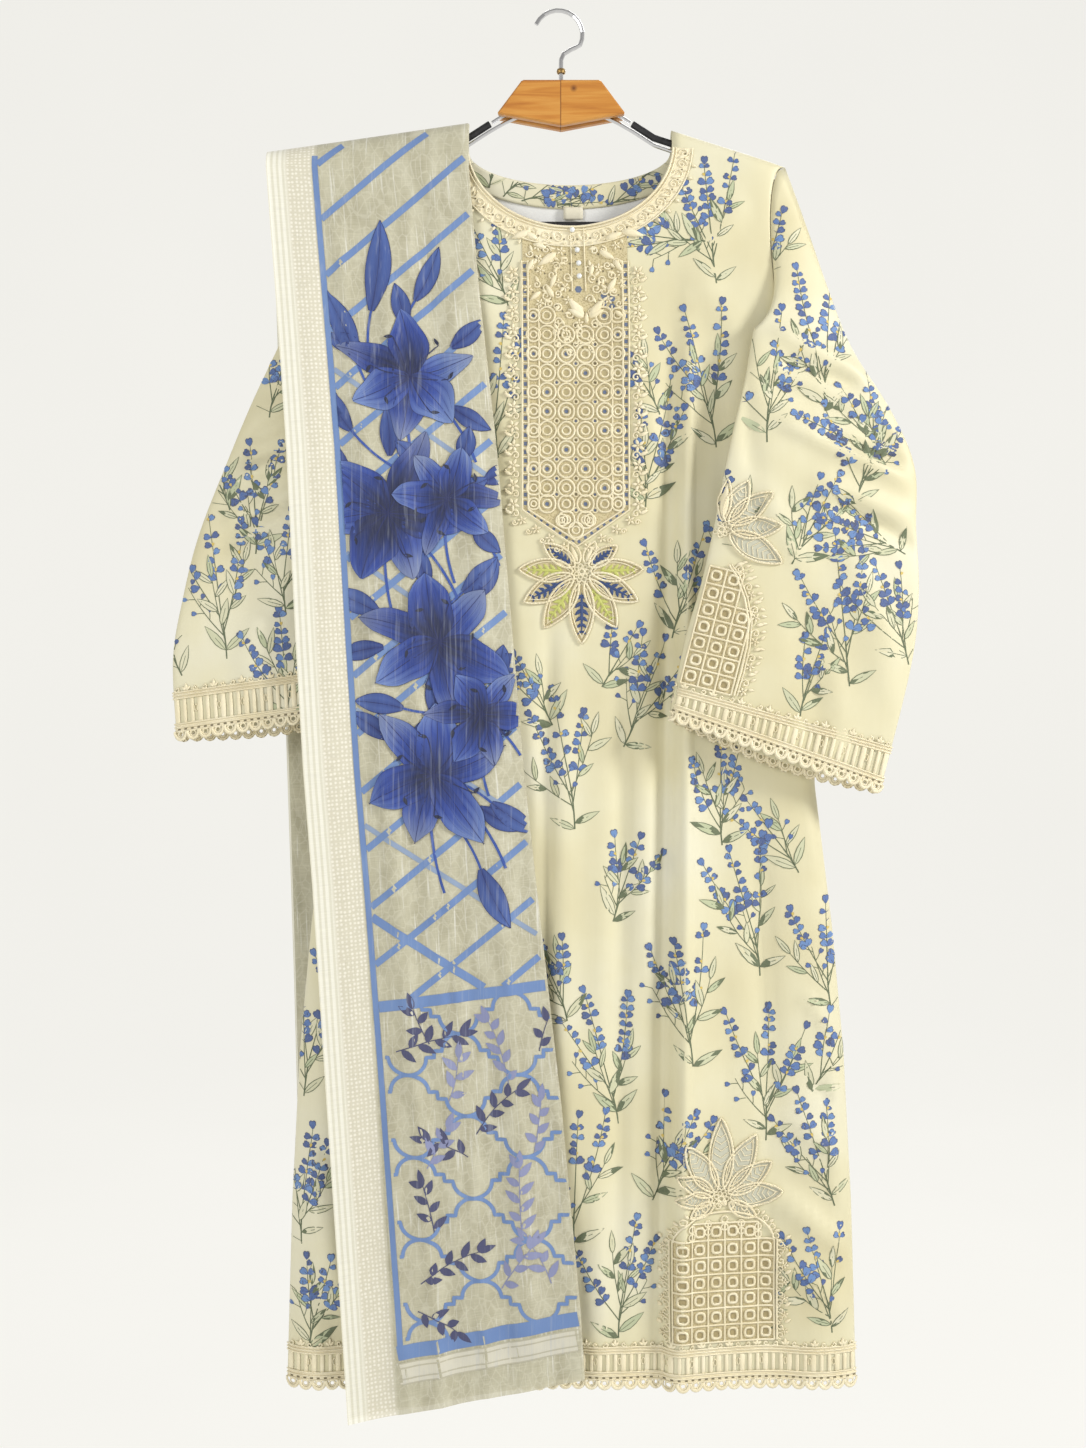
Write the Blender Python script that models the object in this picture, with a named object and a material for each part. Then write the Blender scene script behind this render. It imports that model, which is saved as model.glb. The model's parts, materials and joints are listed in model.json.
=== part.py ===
"""Salwar kameez suit on a hanger: a long kameez with lace trim, and a dupatta folded over one shoulder.

Units are metres. +Z is up, +X is to the right of someone facing the front, and the front faces -Y.
The origin is the point of the hook's inside crown that a rail carries.
"""

import math
from collections import namedtuple

import bpy
from mathutils import Vector
from mathutils.bvhtree import BVHTree

# Walls and gaps.
CLOTH = 0.0012
SHEER = 0.0010
LACE = 0.0010
SEAM_GAP = 0.0003
LACE_GAP = 0.0005
APPLIQUE_GAP = 0.0011
LAYER_GAP = 0.0003

# Where the kameez hangs against the hook's crown.
SUIT_X_AT_NECK = 0.0108
SUIT_X_AT_HEM = 0.0124

# Kameez pattern. Heights are below the hook's crown, widths are from the centre front.
NECK_HALF_WIDTH = 0.0938
NECK_Z = -0.1100
# Below this height each neckline is half an ellipse. Above it the neck edge runs straight up over the roll.
NECK_CURVE_Z = -0.1256
FRONT_NECK_DROP = 0.0754
BACK_NECK_DROP = 0.0314
SHOULDER_HALF_WIDTH = 0.198
# Where the grid's columns start round each half of the neckline, in degrees in from the neck point.
FRONT_NECK_COLUMNS = (0, 5, 16, 30, 42.5, 54, 72, 90)
BACK_NECK_COLUMNS = (0, 8, 24, 45, 68, 90)
SHOULDER_SLOPE = 0.32
SHOULDER_Z = NECK_Z - SHOULDER_SLOPE * (SHOULDER_HALF_WIDTH - NECK_HALF_WIDTH)
ARMPIT_Z = -0.370
ARMPIT_HALF_WIDTH = 0.226
ARMHOLE_SCOOP = 0.025
HEM_Z = -1.258
SHOULDER_ROLL = 0.012
SIDE_ROLL = 0.026

BodyRow = namedtuple("BodyRow", "z half_width front_depth back_depth edge_share")
BODY = (
    BodyRow(-0.100, 0.198, 0.0100, 0.0100, 0.00),
    BodyRow(-0.142, 0.198, 0.0110, 0.0110, 0.00),
    BodyRow(-0.370, 0.226, 0.0170, 0.0140, 0.00),
    BodyRow(-0.580, 0.222, 0.0180, 0.0150, 0.00),
    BodyRow(-0.716, 0.225, 0.0180, 0.0150, 0.00),
    BodyRow(-0.845, 0.240, 0.0190, 0.0150, 0.30),
    BodyRow(-0.959, 0.250, 0.0200, 0.0160, 0.45),
    BodyRow(-1.097, 0.257, 0.0200, 0.0160, 0.45),
    BodyRow(-1.280, 0.262, 0.0200, 0.0160, 0.45),
)
SLIT_TOP_Z = -0.716

# Long soft folds: crest_top and crest_hem are the crest's x, the fold grows from start_z to full_z.
Fold = namedtuple("Fold", "crest_top crest_hem start_z full_z left_width right_width height")
FRONT_FOLDS = (
    Fold(0.1010, 0.0925, -0.330, -0.950, 0.014, 0.075, 0.0100),
    Fold(-0.035, -0.045, -0.520, -1.100, 0.045, 0.040, 0.0050),
    Fold(0.030, 0.034, -0.560, -1.150, 0.030, 0.034, 0.0035),
    Fold(-0.130, -0.150, -0.700, -1.150, 0.040, 0.045, 0.0055),
    Fold(0.205, 0.222, -0.760, -1.150, 0.030, 0.028, 0.0045),
    Fold(-0.212, -0.232, -0.800, -1.200, 0.030, 0.020, 0.0040),
)
BACK_FOLDS = (
    Fold(-0.120, -0.140, -0.320, -1.000, 0.060, 0.040, 0.0060),
    Fold(0.010, 0.000, -0.400, -1.100, 0.050, 0.050, 0.0045),
    Fold(0.120, 0.135, -0.300, -0.950, 0.035, 0.060, 0.0065),
    Fold(0.200, 0.220, -0.760, -1.150, 0.030, 0.026, 0.0040),
)
# The grid has a column down the front's sharp crease.
CREASE_TOP_X = NECK_HALF_WIDTH * math.cos(math.radians(FRONT_NECK_COLUMNS[3]))
CREASE_START_Z = -0.340

# Rows of the panels' grids, as shares of the way from the top edge to the armpit. The sleeve's seam
# meets them at the listed places, counted in those rows: down the front and up the back. The neckline's
# curve starts at NECK_CURVE_ROW.
NECK_CURVE_ROW = 3
FRONT_ROWS = (0, 0.006, 0.022, 0.06, 0.13, 0.26, 0.42, 0.60, 0.80, 1)
BACK_ROWS = (0, 0.006, 0.022, 0.06, 0.16, 0.38, 0.68, 1)
SEAM_DOWN_FRONT = (0, 1, 2, 3, 4, 5, 5.5, 6, 7, 7.5, 8)
SEAM_UP_BACK = (7, 6.5, 6, 5.5, 5, 4, 3, 2)

# Sleeve sections from the armhole to the cuff: the outer fold, the edge where the front layer turns
# under, and the inner end, then how far the front and back layers swell and how far the back sags.
SleeveRow = namedtuple(
    "SleeveRow",
    "outer_x outer_z outer_y edge_x edge_z edge_y inner_x inner_z inner_y front_swell back_swell back_sag",
)
RIGHT_SLEEVE = (
    SleeveRow(0.2120, -0.184, -0.001, 0.1780, -0.250, -0.023, 0.229, -0.374, -0.006, 0.006, 0.008, 0.000),
    SleeveRow(0.2330, -0.246, -0.006, 0.1655, -0.300, -0.031, 0.235, -0.384, -0.012, 0.008, 0.004, 0.000),
    SleeveRow(0.2565, -0.312, -0.013, 0.1560, -0.350, -0.036, 0.238, -0.400, -0.022, 0.010, 0.004, 0.014),
    SleeveRow(0.2925, -0.374, -0.020, 0.1460, -0.392, -0.039, 0.222, -0.416, -0.029, 0.010, 0.005, 0.008),
    SleeveRow(0.3125, -0.425, -0.024, 0.1375, -0.432, -0.040, 0.190, -0.444, -0.031, 0.010, 0.004, 0.003),
    SleeveRow(0.3135, -0.480, -0.026, 0.1280, -0.482, -0.040, 0.136, -0.488, -0.032, 0.010, 0.004, 0.003),
    SleeveRow(0.3155, -0.540, -0.028, 0.1165, -0.533, -0.040, 0.125, -0.538, -0.033, 0.009, 0.004, 0.005),
    SleeveRow(0.3085, -0.605, -0.029, 0.1020, -0.583, -0.040, 0.110, -0.588, -0.034, 0.008, 0.004, 0.007),
    SleeveRow(0.2810, -0.715, -0.031, 0.0885, -0.648, -0.041, 0.097, -0.652, -0.035, 0.007, 0.003, 0.009),
)
LEFT_SLEEVE = (
    SleeveRow(0.2110, -0.181, -0.001, 0.1800, -0.252, -0.021, 0.229, -0.374, -0.006, 0.006, 0.008, 0.000),
    SleeveRow(0.2370, -0.240, -0.006, 0.1740, -0.308, -0.028, 0.235, -0.384, -0.012, 0.008, 0.004, 0.000),
    SleeveRow(0.2645, -0.302, -0.012, 0.1710, -0.354, -0.032, 0.238, -0.400, -0.022, 0.009, 0.004, 0.014),
    SleeveRow(0.2915, -0.362, -0.018, 0.1680, -0.396, -0.035, 0.222, -0.416, -0.029, 0.009, 0.005, 0.010),
    SleeveRow(0.3140, -0.418, -0.022, 0.1660, -0.434, -0.036, 0.190, -0.444, -0.031, 0.009, 0.004, 0.003),
    SleeveRow(0.3400, -0.486, -0.024, 0.1650, -0.490, -0.036, 0.174, -0.499, -0.030, 0.009, 0.004, 0.003),
    SleeveRow(0.3545, -0.545, -0.026, 0.1630, -0.543, -0.036, 0.172, -0.550, -0.031, 0.008, 0.004, 0.004),
    SleeveRow(0.3632, -0.600, -0.027, 0.1610, -0.588, -0.037, 0.170, -0.594, -0.031, 0.008, 0.004, 0.005),
    SleeveRow(0.3600, -0.667, -0.028, 0.1590, -0.639, -0.038, 0.168, -0.643, -0.032, 0.007, 0.003, 0.006),
)
SLEEVE_FRONT_STEPS, SLEEVE_EDGE_STEPS, SLEEVE_BACK_STEPS = 8, 3, 8
SLEEVE_RINGS = 10
# The first ring's place between the table's rows, and the column beside the turned edge.
FIRST_RING, TURNED_COLUMN = 0.125, 9
# Where the sleeve folds back over the panel its seam stands this far beside and in front of the
# panel's edge, and at the armpit this far out and up, easing in over the last part of the armhole.
FOLDED_SEAM_ASIDE, FOLDED_SEAM_RISE = 0.0014, 0.0016
ARMPIT_ASIDE, ARMPIT_LIFT, ARMPIT_EASE = 0.0013, 0.002, 0.10

# Dupatta: the folded strip's edges down each fall. Depth is in front of the hanger's plane.
FallRow = namedtuple("FallRow", "z left_x right_x left_depth right_depth")
FRONT_FALL = (
    FallRow(-0.150, -0.2780, -0.0940, 0.022, 0.0210),
    FallRow(-0.268, -0.2680, -0.0850, 0.037, 0.0250),
    FallRow(-0.415, -0.2560, -0.0690, 0.053, 0.0300),
    FallRow(-0.581, -0.2475, -0.0550, 0.056, 0.0340),
    FallRow(-0.700, -0.2410, -0.0450, 0.053, 0.0340),
    FallRow(-0.802, -0.2340, -0.0340, 0.045, 0.0340),
    FallRow(-1.004, -0.2220, -0.0110, 0.037, 0.0360),
    FallRow(-1.188, -0.2100, 0.0060, 0.035, 0.0380),
    FallRow(-1.303, -0.2025, 0.0130, 0.035, 0.0400),
)
BACK_FALL = (
    FallRow(-0.150, -0.2795, -0.0960, 0.021, 0.0190),
    FallRow(-0.300, -0.2765, -0.0900, 0.027, 0.0250),
    FallRow(-0.680, -0.2690, -0.0720, 0.030, 0.0290),
    FallRow(-0.900, -0.2620, -0.0600, 0.030, 0.0300),
    FallRow(-1.204, -0.2540, -0.0450, 0.030, 0.0310),
)
RIDGE_RIGHT_Z, RIDGE_SLOPE, RIDGE_RIGHT_X = -0.1056, 0.150, -0.0957
FRONT_FALL_BOTTOM = (-1.2935, -1.2525)
BACK_FALL_BOTTOM = (-1.204, -1.190)
FALL_ACROSS, FALL_TURN = 4, 0.060
FRONT_FALL_ROWS, BACK_FALL_ROWS, RIDGE_ROWS = 16, 9, 3
# The strip is folded twice, so it hangs four layers deep. Each layer is set in from the left by this
# share of the width, and stops this much above the front layer's end.
LayerSet = namedtuple("LayerSet", "inset lift")
LAYERS = (LayerSet(0.000, 0.000), LayerSet(0.030, 0.009), LayerSet(0.012, 0.006), LayerSet(0.012, 0.003))

# Lace band along the hem and cuffs.
BAND_HEIGHT, BAND_RAIL, SCALLOP = 0.030, 0.006, 0.009
BAND_PITCH, BAND_BAR = 0.0145, 0.0070
CUFF_BAND_INNER, CUFF_BAND_OUTER = 0.022, 0.036
NECK_BAND = 0.020

# Yoke of ringed lace below the neck.
YOKE_X, YOKE_HALF_WIDTH = 0.0037, 0.060
YOKE_SIDE_END_Z, YOKE_POINT_Z = -0.455, -0.494
YOKE_RING_RISE = 0.0008
YOKE_ACROSS, YOKE_DOWN = 8, 16

# Arch panels of eyelets: the hem's, upright, and the sleeve's, tilted with the sleeve.
EYELET_PITCH, EYELET_HALF = 0.0155, 0.0031
HEM_ARCH_X, HEM_ARCH_BOTTOM_Z = 0.0925, -1.2222
HEM_ARCH_COLUMNS, HEM_ARCH_ROWS = 6, 7
SLEEVE_ARCH_X, SLEEVE_ARCH_BOTTOM_Z = 0.0975, -0.6215
SLEEVE_ARCH_COLUMNS, SLEEVE_ARCH_ROWS, SLEEVE_ARCH_TILT = 3, 7, math.radians(-14.5)

# Flowers of applied petals: angle in degrees from +X, and reach from the centre.
Petal = namedtuple("Petal", "angle reach")
YOKE_FLOWER = (0.009, -0.5195), tuple(
    Petal(*row)
    for row in (
        (2, 0.056), (36, 0.040), (144, 0.043), (178, 0.058), (208, 0.060),
        (236, 0.062), (270, 0.066), (302, 0.060), (332, 0.058),
    )
)
HEM_FLOWER = (0.1358, -1.0920), tuple(
    Petal(*row)
    for row in (
        (6, 0.057), (35, 0.057), (61, 0.066), (90, 0.074), (124, 0.060),
        (151, 0.045), (180, 0.041), (208, 0.034), (332, 0.036),
    )
)
SLEEVE_FLOWER = (0.1345, -0.4838), tuple(
    Petal(*row) for row in ((-29, 0.062), (3, 0.054), (36, 0.056), (61, 0.050))
)
PETAL_HALF_WIDTH = 0.0095
FLOWER_HEART = 0.012

# Hanger.
WIRE, THIN_WIRE = 0.0021, 0.0018
HOOK_RADIUS = 0.0225
HANGER_X = 0.0028
BLOCK_THICKNESS, BLOCK_GAP = 0.0080, 0.0048
BLOCK_TOP_Z, BLOCK_TIP_Z, BLOCK_BOTTOM_Z = -0.0655, -0.0966, -0.1076
BLOCK_TOP_HALF, BLOCK_HALF = 0.036, 0.0593
GRIP_RADIUS, BAR_RADIUS = 0.0033, 0.0040
ARM_BEND, ARM_NECK, ARM_TIP = (0.066, -0.1032), (0.086, -0.1161), (0.184, -0.1466)
ARM_WIRE_DROP = 0.0068
BAR_Z, BAR_HALF = -0.1975, 0.150


def smooth(t):
    """0 below 0, 1 above 1, and an even ease between."""
    t = min(1.0, max(0.0, t))
    return t * t * (3 - 2 * t)


def mix(a, b, t):
    return a + (b - a) * t


def round_over(t):
    """A quarter round: 0 at 0, 1 from 1 on."""
    t = min(1.0, max(0.0, t))
    return math.sqrt(1 - (1 - t) ** 2)


def row_at(rows, z):
    """The table's row at height z, eased between the rows above and below it."""
    if z >= rows[0].z:
        return rows[0]
    for upper, lower in zip(rows, rows[1:]):
        if z >= lower.z:
            t = (upper.z - z) / (upper.z - lower.z)
            return type(upper)(*(mix(a, b, t) for a, b in zip(upper, lower)))
    return rows[-1]


def between_rows(rows, place):
    """The table's row at a place from 0 to 1 along it, on a smooth curve through all its rows."""
    place = min(len(rows) - 1.0, max(0.0, place * (len(rows) - 1)))
    i = min(int(place), len(rows) - 2)
    t = place - i
    before, start, end, after = (
        rows[max(i - 1, 0)], rows[i], rows[i + 1], rows[min(i + 2, len(rows) - 1)]
    )
    return type(start)(*(
        0.5 * (2 * b + (c - a) * t + (2 * a - 5 * b + 4 * c - d) * t * t + (3 * b - a - 3 * c + d) * t ** 3)
        for a, b, c, d in zip(before, start, end, after)
    ))


Panel = namedtuple("Panel", "grid normals tree")


# Solids from grids ---------------------------------------------------------------------------------


def material(name, colour, roughness, metallic=0.0):
    made = bpy.data.materials.new(name)
    made.use_nodes = True
    shader = made.node_tree.nodes["Principled BSDF"]
    shader.inputs["Base Color"].default_value = (*colour, 1)
    shader.inputs["Roughness"].default_value = roughness
    shader.inputs["Metallic"].default_value = metallic
    made.diffuse_color = (*colour, 1)
    return made


def add_object(name, points, faces, finish):
    """A new object from points and faces, its faces turned out and its points used at least once."""
    used = sorted({i for face in faces for i in face})
    number = {old: new for new, old in enumerate(used)}
    mesh = bpy.data.meshes.new(name)
    mesh.from_pydata([points[i] for i in used], [], [[number[i] for i in face] for face in faces])
    mesh.materials.append(finish)
    mesh.shade_smooth()
    mesh.set_sharp_from_angle(angle=math.radians(40))
    made = bpy.data.objects.new(name, mesh)
    bpy.context.scene.collection.objects.link(made)
    return made


def grid_normals(grid, closed):
    """Unit normals of a grid of points, rows by columns, to the left of columns crossed with rows."""
    rows, columns = len(grid), len(grid[0])

    def through(before, point, after):
        return (point - before).normalized() + (after - point).normalized()

    normals = []
    for r, line in enumerate(grid):
        above, below = grid[max(r - 1, 0)], grid[min(r + 1, rows - 1)]
        ways = []
        for c, point in enumerate(line):
            left = line[c - 1] if closed else line[max(c - 1, 0)]
            right = line[(c + 1) % columns] if closed else line[min(c + 1, columns - 1)]
            ways.append(through(left, point, right).cross(through(below[c], point, above[c])).normalized())
        normals.append(ways)
    return normals


def plate(name, surface, normals, triangles, thickness, finish):
    """A closed wall round a surface of triangles that face out, with a rim along its open edges."""
    inside = len(surface)
    points = [p + n * thickness / 2 for p, n in zip(surface, normals)]
    points += [p - n * thickness / 2 for p, n in zip(surface, normals)]
    edges = {(t[i], t[(i + 1) % 3]) for t in triangles for i in range(3)}
    faces = list(triangles)
    faces += [(a + inside, c + inside, b + inside) for a, b, c in triangles]
    for a, b in edges:
        if (b, a) not in edges:
            faces += [(b, a, a + inside), (b, a + inside, b + inside)]
    return add_object(name, points, faces, finish)


def grid_triangles(rows, columns, closed=False, kept=None, mirrored=None):
    """Triangles of a grid whose rows run down and whose columns run to the right, seen from outside.

    kept says which cells there are. mirrored says which columns' cells are split along the other diagonal.
    """
    triangles = []
    for r in range(rows - 1):
        for c in range(columns if closed else columns - 1):
            if kept is not None and not kept(r, c):
                continue
            d = (c + 1) % columns
            a, b, e, f = r * columns + c, r * columns + d, (r + 1) * columns + d, (r + 1) * columns + c
            if mirrored is not None and mirrored(c):
                triangles += [(a, f, b), (b, f, e)]
            else:
                triangles += [(a, f, e), (a, e, b)]
    return triangles


def wall(name, grid, normals, thickness, finish, **cells):
    """A closed wall round a grid. cells goes to grid_triangles."""
    triangles = grid_triangles(len(grid), len(grid[0]), **cells)
    return plate(name, sum(grid, []), sum(normals, []), triangles, thickness, finish)


def surface_of(grid, normals, thickness, **cells):
    """A search tree over a wall's outer face, for laying trims on it."""
    points = [p + n * thickness / 2 for p, n in zip(sum(grid, []), sum(normals, []))]
    return BVHTree.FromPolygons(points, grid_triangles(len(grid), len(grid[0]), **cells))


def lay_on(tree, x, z, rise, lowest_z=None):
    """The point rise in front of the surface at (x, z), and the way it faces.

    Below lowest_z it hangs on straight down.
    """
    surface_z = z if lowest_z is None else max(z, lowest_z)
    hit, normal, _, _ = tree.ray_cast(Vector((x, -1, surface_z)), Vector((0, 1, 0)))
    normal = Vector((normal.x, -abs(normal.y), normal.z)).normalized()
    point = hit + normal * rise
    if lowest_z is not None and z < lowest_z:
        point = Vector((point.x, point.y, z))
    return point, normal


# Kameez body ---------------------------------------------------------------------------------------


def suit_x(z):
    """The kameez's centre line, which leans a little to the right on its way down."""
    return mix(SUIT_X_AT_NECK, SUIT_X_AT_HEM, smooth((NECK_Z - z) / 0.25))


def armhole_angle(z):
    """How far round the armhole a height is: 0 at the shoulder and pi at the armpit."""
    share = min(1.0, max(0.0, (SHOULDER_Z - z) / (SHOULDER_Z - ARMPIT_Z)))
    return math.acos(1 - 2 * share)


def side_line(z):
    """Half the kameez's width at a height before the armhole is scooped out of it, and the scoop's depth."""
    if z >= ARMPIT_Z:
        angle = armhole_angle(z)
        straight = mix(SHOULDER_HALF_WIDTH, ARMPIT_HALF_WIDTH, (1 - math.cos(angle)) / 2)
        return straight, ARMHOLE_SCOOP * math.sin(angle)
    return row_at(BODY, z).half_width, 0.0


def half_width(z):
    straight, scoop = side_line(z)
    return straight - scoop


def shoulder_z(x):
    return NECK_Z - SHOULDER_SLOPE * max(0.0, abs(x) - NECK_HALF_WIDTH)


def crest_x(fold, z):
    return mix(fold.crest_top, fold.crest_hem, smooth((fold.start_z - z) / (fold.start_z - HEM_Z)))


def fold_height(folds, x, z):
    """How far the folds lift the cloth at a point: each is a crest with a slope on either side."""
    total = 0.0
    for fold in folds:
        grown = smooth((fold.start_z - z) / (fold.start_z - fold.full_z))
        crest = crest_x(fold, z)
        width = fold.left_width if x < crest else fold.right_width
        away = min(1.0, abs(x - crest) / width)
        total += fold.height * grown * (1 + math.cos(math.pi * away)) / 2
    return total


def body_depth(x, z, is_front):
    """How far the front or back stands from the hanger's plane, rounding out from nothing at the seams."""
    row = row_at(BODY, z)
    width = half_width(z)
    over_shoulder = round_over((shoulder_z(x) - z) / SHOULDER_ROLL)
    into_side = max(0.0, abs(x) - (width - SIDE_ROLL)) / SIDE_ROLL
    edge = row.edge_share
    if ARMPIT_Z < z < SHOULDER_Z:
        edge = 0.9 * math.sqrt(math.sin(armhole_angle(z)))
    across = edge + (1 - edge) * math.sqrt(max(0.0, 1 - into_side ** 2))
    depth = row.front_depth if is_front else row.back_depth
    folds = fold_height(FRONT_FOLDS if is_front else BACK_FOLDS, x, z)
    return (depth + folds) * over_shoulder * across


def neckline_z(x, drop):
    """The neck edge over x: half an ellipse between the two neck points."""
    share = min(1.0, abs(x) / NECK_HALF_WIDTH)
    return NECK_CURVE_Z - drop * math.sqrt(1 - share ** 2)


def top_columns(neck_angles, shoulder_steps):
    """x of each column at the top edge, left to right: close together where the neckline is steep."""
    neck = [NECK_HALF_WIDTH * math.cos(math.radians(a)) for a in neck_angles]
    reach = SHOULDER_HALF_WIDTH - NECK_HALF_WIDTH
    shoulder = [
        NECK_HALF_WIDTH + reach * math.sin(math.pi / 2 * i / shoulder_steps)
        for i in range(shoulder_steps, 0, -1)
    ]
    half = shoulder + neck
    return [-x for x in half] + half[-2::-1]


def spread_x(top_x, z):
    """Where a column that starts at top_x is at height z, spread with the cloth between its sides."""
    share = top_x / SHOULDER_HALF_WIDTH
    straight, scoop = side_line(z)
    return share * (straight - scoop * abs(share) ** 3)


def column_x(top_x, z, follows_crease):
    """Where a column is at height z. On the front's right half the columns keep to the crease."""
    x = spread_x(top_x, z)
    if not follows_crease or top_x <= 0:
        return x
    from_x, side_x = spread_x(CREASE_TOP_X, z), half_width(z)
    neck_bottom_z = NECK_CURVE_Z - FRONT_NECK_DROP
    onto_crest = smooth((neck_bottom_z - z) / (neck_bottom_z - CREASE_START_Z))
    crease_x = mix(from_x, crest_x(FRONT_FOLDS[0], z), onto_crest)
    if top_x <= CREASE_TOP_X:
        return x * crease_x / from_x
    return mix(crease_x, side_x, (x - from_x) / (side_x - from_x))


def in_neck(top_x):
    return abs(top_x) < NECK_HALF_WIDTH - 1e-6


def body_way(x, z, is_front):
    """The way the front or back faces at a point."""
    step = 0.0004
    across = body_depth(x + step, z, is_front) - body_depth(x - step, z, is_front)
    upward = body_depth(x, z + step, is_front) - body_depth(x, z - step, is_front)
    return Vector((-across, -2 * step if is_front else 2 * step, -upward)).normalized()


def body_grid(is_front, columns, top_shares, lower_rows):
    """The front's or back's middle surface, from the shoulders and neck down to the hem, and how it faces."""
    drop = FRONT_NECK_DROP if is_front else BACK_NECK_DROP
    side = -1 if is_front else 1
    curve_share = top_shares[NECK_CURVE_ROW]
    heights = [mix(ARMPIT_Z, HEM_Z, i / lower_rows) for i in range(1, lower_rows + 1)]
    grid, normals = [], []
    for r in range(len(top_shares) + lower_rows):
        line, ways = [], []
        for top_x in columns:
            if r >= len(top_shares):
                z = heights[r - len(top_shares)]
            elif in_neck(top_x):
                below_curve = max(0.0, top_shares[r] - curve_share) / (1 - curve_share)
                z = mix(neckline_z(top_x, drop), ARMPIT_Z, below_curve)
            else:
                z = mix(shoulder_z(top_x), ARMPIT_Z, top_shares[r])
            x = column_x(top_x, z, is_front)
            line.append(Vector((x + suit_x(z), side * (body_depth(x, z, is_front) + SEAM_GAP / 2), z)))
            ways.append(body_way(x, z, is_front))
        grid.append(line if is_front else line[::-1])
        normals.append(ways if is_front else ways[::-1])
    return grid, normals


def square_to_seams(grid, normals):
    """Turns the wall square to the shoulder and side seams, so that two panels meet face to face."""
    for r, line in enumerate(grid):
        for c, point in enumerate(line):
            on_shoulder = r == 0 and not in_neck(point.x - suit_x(point.z))
            on_side = c in (0, len(line) - 1) and SLIT_TOP_Z <= point.z <= ARMPIT_Z + 1e-6
            if on_shoulder or on_side:
                normal = normals[r][c]
                normals[r][c] = Vector((normal.x, 0, normal.z)).normalized()


def make_body(finish):
    """The front and back panels: their grids, their normals, and a search tree over each outer face."""
    panels = {}
    for name, is_front, columns, shares, lower in (
        ("kameez_front", True, top_columns(FRONT_NECK_COLUMNS, 5), FRONT_ROWS, 14),
        ("kameez_back", False, top_columns(BACK_NECK_COLUMNS, 4), BACK_ROWS, 11),
    ):
        def is_cloth(r, c, columns=columns):
            return r >= NECK_CURVE_ROW or not (in_neck(columns[c]) or in_neck(columns[c + 1]))

        grid, normals = body_grid(is_front, columns, shares, lower)
        square_to_seams(grid, normals)
        wall(name, grid, normals, CLOTH, finish, kept=is_cloth)
        panels[name] = Panel(grid, normals, surface_of(grid, normals, CLOTH, kept=is_cloth))
    return panels


# Sleeves -------------------------------------------------------------------------------------------


def eased_steps(count):
    """0 to 1 in count steps, closer together at both ends."""
    return [(1 - math.cos(math.pi * i / count)) / 2 for i in range(count)]


def seam_ring(panels, side, towards):
    """The sleeve's seam: round the armhole, just clear of the panels' edges where it leaves for towards."""
    places = [("kameez_front", place) for place in SEAM_DOWN_FRONT]
    places += [("kameez_back", place) for place in SEAM_UP_BACK]
    ring = []
    for (name, place), target in zip(places, towards):
        column = -1 if (side > 0) == (name == "kameez_front") else 0
        panel = panels[name]
        row = min(int(place), len(panel.grid) - 2)
        share = place - row
        point = panel.grid[row][column].lerp(panel.grid[row + 1][column], share)
        way = panel.normals[row][column].lerp(panel.normals[row + 1][column], share).normalized()
        outward = side * (target - point).normalized().x
        straight_out, folded_in = max(0.0, outward), max(0.0, -outward)
        low = max(0.0, (ARMPIT_Z + ARMPIT_EASE - point.z) / ARMPIT_EASE)
        aside = mix(FOLDED_SEAM_ASIDE, SEAM_GAP, straight_out) + ARMPIT_ASIDE * low ** 3
        forward = CLOTH / 2 * (1 - straight_out) + FOLDED_SEAM_RISE * folded_in
        ring.append(point + Vector((side * aside, 0, ARMPIT_LIFT * low ** 4)) + way * forward)
    return ring


def sleeve_ring(row, side):
    """One section of the hanging sleeve: over the front to the turned edge, under it, and back behind."""
    outer = Vector((row.outer_x, row.outer_y, row.outer_z))
    edge = Vector((row.edge_x, row.edge_y, row.edge_z))
    inner = Vector((row.inner_x, row.inner_y, row.inner_z))
    ring = []
    for share in eased_steps(SLEEVE_FRONT_STEPS):
        swell = row.front_swell * (4 * share * (1 - share)) ** 0.5
        ring.append(outer.lerp(edge, share) - Vector((0, swell, 0)))
    for i in range(SLEEVE_EDGE_STEPS):
        ring.append(edge.lerp(inner, i / SLEEVE_EDGE_STEPS))
    for share in eased_steps(SLEEVE_BACK_STEPS):
        swell = (4 * share * (1 - share)) ** 0.5
        sag = row.back_sag * math.sin(math.pi * share)
        ring.append(inner.lerp(outer, share) + Vector((0, row.back_swell * swell, -sag)))
    return [Vector((side * p.x + suit_x(p.z), p.y, p.z)) for p in ring]


def make_sleeve(name, rows, side, panels, finish):
    """A sleeve from its seam to its cuff. side is 1 on the right and -1 on the left, where it is mirrored."""
    places = [mix(FIRST_RING, 1, i / (SLEEVE_RINGS - 1)) for i in range(SLEEVE_RINGS)]
    rings = [sleeve_ring(between_rows(rows, place), side) for place in places]
    grid = [seam_ring(panels, side, rings[0])] + rings
    if side > 0:
        grid = [line[::-1] for line in grid]
    normals = grid_normals(grid, closed=True)
    cells = {"closed": True, "mirrored": lambda column: side > 0 or column == TURNED_COLUMN}
    wall(name, grid, normals, CLOTH, finish, **cells)
    return Panel(grid, normals, surface_of(grid, normals, CLOTH, **cells))


# Dupatta -------------------------------------------------------------------------------------------


def ridge_z(x):
    return RIDGE_RIGHT_Z - RIDGE_SLOPE * (RIDGE_RIGHT_X - x)


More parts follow.
